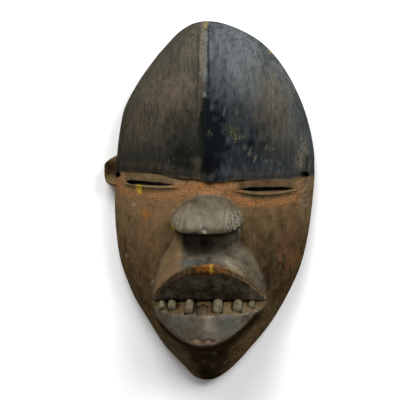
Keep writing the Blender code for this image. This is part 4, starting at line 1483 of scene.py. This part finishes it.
    red: tuple[Mark, ...] = marks(
        (-0.9, -97.2, 2.1, 1.6, 0.85, 0, 0.4, 0.5), (5.3, -96.5, 3.1, 1.5, 0.7, 10, 0.6, 0.6),
        (-14.0, -52.6, 9.6, 2.3, 0.2, 26, 0.6, 0.7), (1.4, -50.7, 6.9, 1.4, 0.55, 0, 0.6, 0.7),
        (20.4, -51.6, 6.9, 1.5, 0.25, -26, 0.6, 0.7), (-46.9, -22.0, 8.4, 9.8, 0.22, 0, 0.9, 1.2),
        (57.8, -27.7, 7.0, 15.4, 0.2, 0, 0.9, 1.2), (39.6, 13.2, 9.7, 1.4, 0.35, 0, 0.8, 0.9),
    )
    crust: tuple[Mark, ...] = marks(
        (21.4, -14.1, 4.3, 8.6, 1, -4, 0.5, 0.5), (-19.9, -12.8, 3.1, 5.9, 0.55, 0, 0.6, 0.6),
        (68.2, 7.4, 3.5, 15.5, 0.32, -4, 0.8, 0.7), (66.9, 34.1, 3.2, 8.4, 0.35, 0, 0.9, 0.7),
        (-3.0, 124.1, 3.0, 5.6, 0.5, 0, 0.7, 0.6), (-1.8, 106.0, 2.4, 18.1, 0.22, 0, 0.9, 0.7),
        (24.2, -83.7, 4.8, 6.9, 0.22, -30, 0.9, 0.8), (23.8, -38.5, 6.9, 6.2, 0.14, -40, 0.9, 0.9),
        (-49.9, -29.1, 6.3, 12.6, 0.14, 0, 1.2, 1), (32.2, -77.1, 4.1, 3.5, 0.35, 0, 0.9, 0.8),
    )
    # Mostly painted shade and shadow: the nose's shadow on the muzzle, dents at the philtrum and low on the
    # forehead's middle, the palate's crack, the lost tooth's bed, the gaps beside the pegs, the chin under
    # the lower lip, a crack at the right edge and both sides of the forehead's middle line; one darkens the
    # lug's top.
    grime_and_shade: tuple[Mark, ...] = marks(
        (0.2, -31.5, 6.2, 6.2, 0.75, 0, 0.3, 0.9), (-8.7, -33.6, 6.9, 5.5, 0.3, 0, 0.3, 0.9),
        (12.6, -29.5, 8.3, 3.5, 0.45, 20, 0.3, 0.9), (2.4, -40.2, 1.4, 2.1, 0.6, 0, 0.3, 0.8),
        (1.9, 22.5, 4.1, 6.2, 0.55, 0, 0.6, 0.7), (-3.7, -63.1, 0.8, 5.5, 0.8, 15, 0.6, 0.6),
        (-70.9, 23.1, 6.4, 7.1, 0.95, 0, 0.3, 0.9), (-1.2, -76.9, 3.2, 2.5, 0.45, 0, 0.2, 0.5),
        (-0.4, -108.4, 3.5, 8.4, 0.5, 0, 0.4, 1), (-19.5, -96.9, 4.2, 9.7, 0.35, 50, 0.6, 1),
        (69.3, 24.3, 1.1, 8.5, 0.8, -6, 0.4, 0.6), (-26.0, -71.2, 1.5, 3.6, 1.0, 0, 0.3, 0.7),
        (-19.6, -71.5, 1.6, 4.0, 1.0, 0, 0.3, 0.7), (-6.7, -72.0, 1.5, 4.6, 0.95, 0, 0.3, 0.7),
        (5.1, -72.0, 1.4, 4.4, 0.85, 0, 0.3, 0.7), (18.8, -71.5, 1.4, 3.6, 0.95, 0, 0.3, 0.7),
        (29.4, -70.3, 1.3, 2.6, 0.95, 0, 0.3, 0.7), (1.7, 97.0, 0.8, 28.0, 0.75, 1, 0.5, 0.8),
        (-5.4, 92.0, 0.9, 28.0, 0.40, 0, 0.6, 0.9),
    )
    # Painted bluish reflection on the lower lip's front, the upper lip's edge, the muzzle and the nose.
    blue_reflection: tuple[Mark, ...] = marks(
        (16.6, -83.6, 7.3, 6.6, 0.8, 0, 0.6, 0.4), (5.4, -89.5, 8.2, 8.2, 0.45, 0, 0.6, 0.8),
        (-18.3, -83.6, 9.6, 6.9, 0.35, 0, 0.6, 0.9), (2.4, -42.6, 15.6, 2.6, 0.45, 0, 0.5, 0.9),
        (-8.5, -42.9, 9.6, 2.7, 0.7, 0, 0.5, 0.8), (6.7, -35.6, 6.9, 5.5, 0.15, 0, 0.5, 0.9),
        (0.7, -12.0, 12.3, 8.2, 0.25, 0, 0.6, 1),
    )

    def tone(self, zones: Zones) -> Array:
        """How light the surface is: a curve down each side, a level for each zone, and the marks.

        Args:
            zones: the mask's points and zones.

        Returns:
            One value for each place.
        """
        u, v, x, ragged = zones.u, zones.v, zones.x, zones.ragged
        tone = mixed(self.left_tone(v), self.right_tone(v), smooth_step((u + 0.2) / 0.4))
        # The forehead's light marks add its painted sheen.
        tone = mixed(tone, self.soot_tone, zones.soot) + zones.soot * zones.summed(self.light)
        # The nose is darker up its steep upper part, painted shade, and on its right wing.
        nose = 0.53 - 0.22 * smooth_step((v + 0.06) / 0.06) - 0.12 * smooth_step((u - 0.2) / 0.06)
        # The lower lip's front is lighter on its middle facet, a painted highlight.
        front = 0.30 + 0.20 * hump(x, 4.0, 5.0) + 0.10 * ragged * smooth_step((x + 3.0) / 6.0)
        # The muzzle's flat left part is lighter, partly painted light.
        muzzle = 0.34 - 0.14 * zones.out + 0.34 * zones.plane / np.maximum(zones.muzzle, 1e-6)
        top = 0.22 + 0.14 * smooth_step((x - 8.0) / 6.0) + 0.10 * ragged
        band = 0.50 + 0.40 * smooth_step((x - 4.0) / 14.0) + 0.25 * zones.fine
        tone = mixed(tone, nose, zones.nose)
        tone = mixed(tone, front, zones.lip_front)
        tone = mixed(tone, muzzle, zones.muzzle)
        tone = mixed(tone, top, zones.lip_top)
        tone = mixed(tone, np.where(u < 0, 0.34, 0.18), zones.lid)
        tone = np.maximum(tone, zones.rim * 0.85)
        tone = mixed(tone, 0.10 + 0.07 * ragged, zones.palate)
        tone = mixed(tone, band, zones.band)
        return tone + zones.summed(self.wear)

    def dust(self, zones: Zones) -> Array:
        """Ochre dust: an arc under each slit and the marks, broken up, and little of it on lids and nose.

        Args:
            zones: the mask's points and zones.

        Returns:
            One value for each place.
        """
        eyes, u, v = zones.face.eyes, zones.u, zones.v
        drop = np.where(u < 0, 0.062, 0.052 + 0.030 * eyes.bow(u))
        arcs = 1.6 * hump(v, eyes.line(u) - drop, np.where(u < 0, 0.022, 0.020))
        arcs = arcs * (between(u, -0.90, -0.30, 0.08) + between(u, 0.24, 0.86, 0.10))
        dust = np.maximum(arcs, zones.strongest(self.ochre)) * (1 - zones.soot)
        dust = dust * smooth_step(0.80 + 0.45 * zones.ragged + 0.35 * zones.fine)
        return dust * (1 - 0.6 * zones.lid) * (1 - zones.nose)

    def chin(self, zones: Zones, hang: Array) -> Array:
        """Painted shadow of the lower lip down the chin's keel, as a dark wedge that narrows towards the tip.

        Args:
            zones: the mask's points and zones.
            hang: how far a place lies below the lower lip, as a share.

        Returns:
            One value for each place.
        """
        half = 10.0 + 0.52 * (zones.y + 117.0)
        keel = smooth_step((half - np.abs(zones.x - 0.5) + 2.5 * zones.ragged) / 7.0 + 0.5)
        keel = 0.90 * keel * (1 - 0.25 * np.abs(zones.fine))
        return keel * smooth_step(hang / 0.01) * smooth_step((-0.70 - zones.v) / 0.05)

    def dirt_and_shade(self, zones: Zones) -> Array:
        """Darkening, mostly painted shade: under the lower lip and the nose, above the brow, down the slits
        and tie holes, in the lost tooth's bed and the lower lids' grooves, with the chin's painted shadow; a
        little on the palate, dark nicks along the upper lip's band, and the marks.

        Args:
            zones: the mask's points and zones.

        Returns:
            One value for each place.
        """
        eyes, nose, mouth = zones.face.eyes, zones.face.nose, zones.face.mouth
        u, v, x, y = zones.u, zones.v, zones.x, zones.y
        hang = mouth.bottom(u) - v
        # Painted shadow under the lower lip.
        under_lip = smooth_step((hang - 0.001) / 0.008) * smooth_step((0.075 - hang) / 0.05)
        under_lip = under_lip * smooth_step(zones.corner / 0.2)
        # Painted shadow under the nose.
        under_nose = hump(v, nose.bottom(u) - 0.006, 0.010)
        under_nose = under_nose * smooth_step((1.0 - np.abs(u) / nose.half_width) / 0.1)
        # Painted shade in the groove under each lower lid, and down the slits' cut walls.
        groove = hump(v, eyes.lower_groove(u), 0.0085) * eyes.near(u, 0.06)
        slits = smooth_step((zones.below - 0.0007) / 0.0008)
        slits = slits * hump(v, eyes.line(u), 0.03) * eyes.near(u, 0.02)
        holes = 0.0
        for across, up in self.hole_dark_spots:
            far = np.hypot(x - across, y - up)
            holes = holes + smooth_step((self.hole_dark_radius - far) / 1.2)
        nicks = zones.band * smooth_step((np.sin(x * 3.2 + 2.5 * zones.ragged) - 0.1) / 0.5)
        # Painted shade along the forehead's lower edge above the brow.
        brow = hump(v, eyes.brow(u) + 0.016, 0.016)
        places = (
            (0.10, zones.palate), (0.95, under_lip), (0.5, zones.lost_bed), (0.6, under_nose), (0.55, brow),
            (1.0, slits), (1.0, holes), (0.12, groove), (0.6, nicks), (1.0, self.chin(zones, hang)),
            (1.0, zones.strongest(self.grime_and_shade)),
        )
        return np.max([amount * place for amount, place in places], axis=0)

    def paint(self, mask: bpy.types.Object, face: CarvedFace) -> None:
        """Work out every mask at the mask's points and store them as its colour attributes.

        Args:
            mask: the finished carving.
            face: the carved face that it was built from.
        """
        zones = Zones(face, mask)
        spots = zones.strongest
        # The right lobe's blue-black coat, whose light end is the painted sheen, and off the soot the painted
        # bluish reflection.
        cool = zones.soot * smooth_step((zones.x + 3.0 + zones.ragged) / 5.0)
        cool = cool * (1 - zones.summed([self.warm_patch]))
        blue_reflection = spots(self.blue_reflection) * np.max([zones.lip_front, zones.muzzle, zones.nose], axis=0)
        lug_foot = 0.8 * zones.lug * smooth_step((17.0 - zones.y) / 4.0)
        tan = np.max([zones.lid, 0.9 * zones.rim, zones.lip_top, zones.plane, lug_foot, zones.band], axis=0)
        slope = zones.muzzle - zones.plane
        worn = np.max([zones.nose, slope, zones.lip_front, zones.palate, 0.7 * zones.muzzle_edge], axis=0)
        add_attribute(mask, "coat", (zones.soot, np.maximum(cool, blue_reflection), self.tone(zones)))
        add_attribute(mask, "dust", (self.dust(zones), tan, worn))
        add_attribute(mask, "marks", (self.dirt_and_shade(zones), spots(self.orange), spots(self.yellow)))
        add_attribute(mask, "bare", (zones.inside, spots(self.pale), spots(self.crust)))
        add_attribute(mask, "stain", (spots(self.brown), spots(self.red), spots(self.olive)))


class Value:
    """A number socket that Python expressions add Math nodes to."""

    def __init__(self, tree: "Nodes", socket: bpy.types.NodeSocket) -> None:
        """Wrap a socket of a node tree."""
        self.tree, self.socket = tree, socket

    def math(self, operation: str, *values: "Value | float", clamp: bool = False) -> "Value":
        """Add a Math node.

        Args:
            operation: the node's operation.
            values: its inputs in order.
            clamp: whether its result is held between 0 and 1.

        Returns:
            The node's result.
        """
        settings = {"operation": operation, "use_clamp": clamp}
        return Value(self.tree, self.tree.add("ShaderNodeMath", settings, dict(enumerate(values))).outputs[0])

    def __add__(self, other: "Value | float") -> "Value":
        """Sum."""
        return self.math("ADD", self, other)

    def __radd__(self, other: float) -> "Value":
        """Sum."""
        return self.math("ADD", other, self)

    def __sub__(self, other: "Value | float") -> "Value":
        """Difference."""
        return self.math("SUBTRACT", self, other)

    def __rsub__(self, other: float) -> "Value":
        """Difference from a number."""
        return self.math("SUBTRACT", other, self)

    def __mul__(self, other: "Value | float") -> "Value":
        """Product."""
        return self.math("MULTIPLY", self, other)

    def __rmul__(self, other: float) -> "Value":
        """Product."""
        return self.math("MULTIPLY", other, self)

    def swing(self, strength: float) -> "Value":
        """How far the value swings to both sides of one half."""
        return (self - 0.5) * strength

    def steep(self, low: float, high: float) -> "Value":
        """Stretch the part from low to high over 0 to 1, and hold it there beyond."""
        scale = 1 / (high - low)
        return self.math("MULTIPLY_ADD", self, scale, -low * scale, clamp=True)


Colour = tuple[float, float, float]


def display(red: float, green: float, blue: float, studio: float = 1.5) -> Colour:
    """The linear colour of a surface that shows as the given one, from 0 to 255, under the studio's light."""
    shares = [c / 255 for c in (red, green, blue)]
    return tuple((c / 12.92 if c <= 0.04045 else ((c + 0.055) / 1.055) ** 2.4) / studio for c in shares)


class Nodes:
    """The node tree of one material."""

    def __init__(self, name: str) -> None:
        """Start a material whose tree has only its shader and its output.

        Args:
            name: the material's name.
        """
        self.material = bpy.data.materials.new(name)
        self.material.use_nodes = True
        self.tree = self.material.node_tree
        self.shader = self.tree.nodes["Principled BSDF"]

    def add(self, kind: str, settings: dict[str, object], inputs: dict[int | str, object]) -> bpy.types.Node:
        """Add a node, set its settings and then its sockets.

        Args:
            kind: the node's type.
            settings: its own settings by name.
            inputs: values or links of its sockets, by number or name.

        Returns:
            The node.
        """
        node = self.tree.nodes.new(kind)
        for name, value in settings.items():
            setattr(node, name, value)
        for key, value in inputs.items():
            self.feed(node.inputs[key], value)
        return node

    def feed(self, socket: bpy.types.NodeSocket, value: object) -> None:
        """Link a socket to a value's socket, or set it to a constant.

        Args:
            socket: the socket.
            value: a value, a socket, a colour or a number.
        """
        if isinstance(value, Value):
            self.tree.links.new(value.socket, socket)
        elif isinstance(value, bpy.types.NodeSocket):
            self.tree.links.new(value, socket)
        elif isinstance(value, tuple) and socket.type == "RGBA":
            socket.default_value = (*value, 1.0)
        else:
            socket.default_value = value

    def place(self, scale: Colour = (1.0, 1.0, 1.0)) -> bpy.types.NodeSocket:
        """Object coordinates, stretched by a factor along each axis."""
        where = self.add("ShaderNodeTexCoord", {}, {}).outputs["Object"]
        return self.add("ShaderNodeMapping", {}, {"Vector": where, "Scale": scale}).outputs[0]

    def noise(self, size: Colour, detail: float = 3.0, roughness: float = 0.55) -> Value:
        """Noise with blotches of a given size in metres along each axis, round a middle of one half."""
        where = self.place(tuple(1.0 / s for s in size))
        inputs = {"Vector": where, "Scale": 1.0, "Detail": detail, "Roughness": roughness}
        return Value(self, self.add("ShaderNodeTexNoise", {}, inputs).outputs["Fac"])

    def pits(self, size: Colour) -> Value:
        """Distance to the nearest of scattered points, about one in each cell of a given size."""
        inputs = {"Vector": self.place(tuple(1.0 / s for s in size)), "Scale": 1.0}
        return Value(self, self.add("ShaderNodeTexVoronoi", {}, inputs).outputs["Distance"])

    def masks(self, name: str) -> tuple[Value, Value, Value]:
        """The three masks of a colour attribute."""
        colour = self.add("ShaderNodeAttribute", {"attribute_name": name}, {}).outputs["Color"]
        split = self.add("ShaderNodeSeparateColor", {}, {0: colour})
        return tuple(Value(self, split.outputs[n]) for n in range(3))

    def blend(self, first: object, second: object, factor: Value | float) -> bpy.types.NodeSocket:
        """Go from one colour to another with a factor."""
        settings = {"data_type": "RGBA", "clamp_factor": True}
        return self.add("ShaderNodeMix", settings, {0: factor, 6: first, 7: second}).outputs[2]

    def finish(self, colour: object, roughness: object, height: Value, relief: float) -> bpy.types.Material:
        """Feed the shader its colour, roughness and a bump of a given height in metres.

        Args:
            colour: the surface's colour.
            roughness: its roughness.
            height: its relief from 0 to 1.
            relief: the relief's height.

        Returns:
            The finished material.
        """
        bump = self.add("ShaderNodeBump", {}, {"Strength": 1.0, "Distance": relief, "Height": height})
        self.feed(self.shader.inputs["Base Color"], colour)
        self.feed(self.shader.inputs["Roughness"], roughness)
        self.feed(self.shader.inputs["Normal"], bump.outputs[0])
        return self.material


@dataclass(frozen=True)
class MaskWood:
    """The finish of the carving: brown wood under soot, rust dust, grey wear and dark grime, with painted
    shade, painted sheen on the forehead and painted bluish reflection on lips, nose and muzzle.
    """

    wood_dark: Colour = display(34, 25, 15)
    wood_light: Colour = display(134, 110, 77)
    wood_red: Colour = display(100, 64, 44)
    wood_olive: Colour = display(82, 76, 48)
    wood_grey: Colour = display(112, 104, 86)
    warm_dark: Colour = display(30, 32, 28)
    # The coats' light ends are reached where the tone marks paint the forehead's sheen.
    warm_light: Colour = display(106, 99, 86)
    cool_dark: Colour = display(20, 24, 29)
    cool_sheen: Colour = display(106, 112, 113)
    soot_brown: Colour = display(110, 94, 76)
    worn_dark: Colour = display(49, 43, 31)
    worn_light: Colour = display(158, 145, 124)
    # Painted bluish reflection.
    blue_reflection: Colour = display(92, 101, 101)
    tan_dark: Colour = display(66, 51, 34)
    tan_light: Colour = display(150, 126, 92)
    ochre_dark: Colour = display(116, 80, 50)
    ochre_light: Colour = display(180, 130, 88)
    orange: Colour = display(164, 98, 28)
    yellow: Colour = display(196, 168, 62)
    olive: Colour = display(116, 120, 58)
    pale: Colour = display(170, 164, 146)
    red: Colour = display(104, 42, 28)
    # Grime and painted shade.
    grime_and_shade: Colour = display(17, 12, 7)
    bare_light: Colour = display(122, 96, 68)
    bare_dark: Colour = display(78, 58, 40)
    gloss: float = 0.0
    relief: float = 0.32 * MM

    def make(self) -> bpy.types.Material:
        """Lay the coats over the wood, each where its mask says, broken up by grain and speckle."""
        nodes = Nodes("mask_wood")
        soot, cool, tone = nodes.masks("coat")
        ochre, tan, worn = nodes.masks("dust")
        grime_and_shade, orange, yellow = nodes.masks("marks")
        inside, pale, crust = nodes.masks("bare")
        brown, red, olive = nodes.masks("stain")
        grain = nodes.noise((0.0007, 0.010, 0.0030), 4.0, 0.65)
        broad = nodes.noise((0.0035, 0.022, 0.010), 3.0, 0.6)
        mottle = nodes.noise((0.008, 0.010, 0.008), 5.0, 0.62)
        speckle = nodes.noise((0.0010, 0.0012, 0.0010), 3.0, 0.7)
        grit = nodes.pits((0.0014, 0.0017, 0.0014))
        streak = grain.steep(0.36, 0.64)

        blotched = mottle.swing(1.8) * (tone + 0.25) + grain.swing(0.9) * (tone + 0.2) + speckle.swing(0.5)
        face = (tone + blotched).steep(0.0, 1.0)
        rubbed = (tone + mottle.swing(0.8) + speckle.swing(0.5)).steep(0.0, 1.0)
        lit = tone * (1 + grain.swing(2.2) + broad.swing(1.6) + speckle.swing(1.2)) + grain.swing(0.10)
        lit = lit.steep(0.0, 1.0)
        bare = (broad * 0.6 + grain * 0.4).steep(0.34, 0.68)

        warm = nodes.blend(self.warm_dark, self.warm_light, lit)
        # The right lobe's coat runs up to its painted sheen.
        coat = nodes.blend(warm, nodes.blend(self.cool_dark, self.cool_sheen, lit), cool)
        coat = nodes.blend(coat, self.soot_brown, brown * streak * (0.25 + 0.75 * tone.steep(0.0, 0.45)))
        grains = (grit * 0.9 + speckle * 0.6 - 0.25).steep(0.25, 0.75)
        crusted = nodes.blend(self.worn_dark, self.pale, grains)
        dust = nodes.blend(self.ochre_dark, self.ochre_light, speckle.steep(0.34, 0.66))
        layers = (
            (self.wood_light, face),
            (self.wood_red, mottle.steep(0.52, 0.70) * 0.28),
            (self.wood_olive, broad.steep(0.54, 0.72) * 0.40),
            (self.wood_grey, speckle.steep(0.56, 0.70) * mottle.steep(0.40, 0.60) * 0.45),
            (nodes.blend(self.worn_dark, self.worn_light, rubbed), worn * (0.80 + 0.35 * mottle)),
            (nodes.blend(self.tan_dark, self.tan_light, rubbed), tan * (0.75 + 0.35 * streak)),
            # Painted bluish reflection off the soot.
            (self.blue_reflection, cool * (1 - soot) * (0.25 + 0.6 * mottle)),
            (dust, (ochre * (0.50 + 0.8 * speckle)).steep(0.05, 0.95)),
            (coat, soot),
            (crusted, crust * (0.30 + 0.60 * speckle.steep(0.30, 0.70))),
            (self.red, red * speckle.steep(0.30, 0.60)),
            (self.orange, orange * speckle.steep(0.28, 0.58)),
            (self.olive, olive * speckle.steep(0.50, 0.62)),
            # Grime and painted shade.
            (self.grime_and_shade, grime_and_shade * (1 - 0.22 * streak)),
            (self.yellow, yellow * (0.7 + 0.6 * speckle)),
            (self.pale, pale * (0.4 + 0.9 * speckle) * (1 - 0.6 * soot)),
            (nodes.blend(self.bare_dark, self.bare_light, bare), inside),
        )
        wood = self.wood_dark
        for colour, share in layers:
            wood = nodes.blend(wood, colour, share)
        rough = 0.70 - 0.14 * soot + 0.25 * ochre + 0.15 * crust + 0.10 * speckle
        height = grain * 0.5 + speckle * (0.35 + ochre * 0.9 + crust * 1.5) + broad * 0.4
        nodes.feed(nodes.shader.inputs["Specular IOR Level"], self.gloss)
        return nodes.finish(wood, rough, height, self.relief)


@dataclass(frozen=True)
class PegWood:
    """The finish of the pegs: pale grey-green wood with painted shade at the root, on the underside and at
    the tips, and a stained tip.
    """

    light: Colour = display(134, 125, 98)
    dark: Colour = display(66, 57, 40)
    grime_and_shade: Colour = display(24, 18, 12)
    red: Colour = display(112, 58, 44)
    gloss: float = 0.2
    relief: float = 0.2 * MM

    def make(self) -> bpy.types.Material:
        """Streaks along the wood, with painted shade at root and tip and on the side that lies on the lip,
        and a red stain at the third peg's tip.
        """
        nodes = Nodes("peg_wood")
        tip, root, lower = nodes.masks("age")
        grain = nodes.noise((0.0006, 0.006, 0.003), 3.0, 0.6)
        mottle = nodes.noise((0.004, 0.004, 0.004), 3.0, 0.6)
        wood = nodes.blend(self.dark, self.light, (grain * 0.5 + mottle * 0.5).steep(0.34, 0.62))
        wood = nodes.blend(wood, self.red, tip * mottle.steep(0.46, 0.60))
        # Painted shade at root, underside and tip ends.
        wood = nodes.blend(wood, self.grime_and_shade, (tip * 0.5 + root * 0.65 + lower * 0.9).steep(0.1, 1.2))
        nodes.feed(nodes.shader.inputs["Specular IOR Level"], self.gloss)
        return nodes.finish(wood, 0.6 + 0.15 * mottle, grain * 0.6 + mottle * 0.4, self.relief)


@dataclass(frozen=True)
class Softbox:
    """A soft light: how far round from the crown side, how high, how far off, how large and how strong."""

    azimuth: float
    elevation: float
    power: float
    size: float = 0.5
    distance: float = 1.7

    def light(self, name: str) -> None:
        """Hang the light so that it faces the object.

        Args:
            name: the light's name.
        """
        turn, rise = math.radians(self.azimuth), math.radians(self.elevation)
        towards = np.array([math.sin(turn) * math.cos(rise), math.cos(turn) * math.cos(rise), math.sin(rise)])
        lamp = bpy.data.lights.new(name, "AREA")
        lamp.energy, lamp.size = self.power, self.size
        holder = bpy.data.objects.new(name, lamp)
        bpy.context.scene.collection.objects.link(holder)
        holder.location = (towards * self.distance).tolist()
        holder.rotation_euler = holder.location.to_track_quat("Z", "Y").to_euler()


@dataclass(frozen=True)
class Studio:
    """The pale floor, the two soft lights, the even surrounding light and the camera."""

    floor_size: float = 6.0
    floor_colour: Colour = (0.95, 0.95, 0.95)
    floor_roughness: float = 0.9
    camera_distance: float = 2.0
    camera_yaw: float = 3.0
    lens: float = 50.0
    pixel: float = 0.0007143
    pixels: int = 400
    shift: tuple[float, float] = (-0.0255, 0.00125)
    surround: float = 0.27
    left: Softbox = Softbox(-16.0, 48.0, 26.0, 0.8)
    right: Softbox = Softbox(48.0, 50.0, 21.0, 0.8)

    def floor(self) -> None:
        """A plain pale floor under the rim."""
        half = self.floor_size / 2
        points = np.array([(-half, -half, 0.0), (half, -half, 0.0), (half, half, 0.0), (-half, half, 0.0)])
        floor = make_object("floor", points, [(0, 1, 2, 3)])
        nodes = Nodes("floor_white")
        nodes.feed(nodes.shader.inputs["Base Color"], self.floor_colour)
        nodes.feed(nodes.shader.inputs["Roughness"], self.floor_roughness)
        floor.data.materials.append(nodes.material)

    def camera(self) -> None:
        """Look down on the face from the photo's angle, a little from the right."""
        data = bpy.data.cameras.new("camera")
        camera = bpy.data.objects.new("camera", data)
        bpy.context.scene.collection.objects.link(camera)
        yaw = math.radians(self.camera_yaw)
        camera.location = (math.sin(yaw) * self.camera_distance, 0.0, math.cos(yaw) * self.camera_distance)
        camera.rotation_euler = (0.0, yaw, 0.0)
        data.lens = self.lens
        data.sensor_width = self.lens * self.pixels * self.pixel / self.camera_distance
        data.shift_x, data.shift_y = self.shift
        bpy.context.scene.camera = camera

    def build(self) -> None:
        """Set up the floor, lights, surrounding light and camera."""
        self.floor()
        self.left.light("softbox_left")
        self.right.light("softbox_right")
        world = bpy.data.worlds.new("surround")
        world.use_nodes = True
        background = world.node_tree.nodes["Background"]
        background.inputs["Color"].default_value = (1.0, 1.0, 1.0, 1.0)
        background.inputs["Strength"].default_value = self.surround
        bpy.context.scene.world = world
        bpy.context.scene.view_settings.view_transform = "Standard"
        self.camera()


def dress(piece: bpy.types.Object, finish: bpy.types.Material, slot: str, sharp: float, *nodes: str) -> None:
    """Give a new piece its finish and shading, and put it on the frame.

    Args:
        piece: the new piece.
        finish: its material.
        slot: the slot that the finish stands for; not used.
        sharp: the angle in degrees past which an edge is shaded sharp.
        nodes: the solids that the piece stands for.
    """
    piece.data.materials.clear()
    piece.data.materials.append(finish)
    piece.data.shade_smooth()
    piece.data.set_sharp_from_angle(angle=math.radians(sharp))
    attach(piece, "root")
    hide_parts(*nodes)
    piece.data.calc_loop_triangles()
    log.info("%s: %d triangles", piece.name, len(piece.data.loop_triangles))


def main() -> None:
    """Build the mask, its pegs and the studio."""
    logging.basicConfig(level=logging.INFO, format="%(name)s %(message)s")
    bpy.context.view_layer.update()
    outline = Outline()
    mouth = Mouth(outline)
    face = CarvedFace(outline, Eyes(), Nose(outline), mouth)
    pegs = Pegs(mouth)

    mask = Shell(face, Relief(face), pegs).build()
    Patina().paint(mask, face)
    dress(mask, MaskWood().make(), "mask_wood", 50.0, "mask")
    peg_wood = PegWood().make()
    for number in range(1, len(pegs.sizes) + 1):
        dress(pegs.peg(number), peg_wood, "peg_wood", 60.0, f"tooth_{number}")

    Studio().build()
    bpy.context.view_layer.update()


if __name__ == "__main__":
    main()
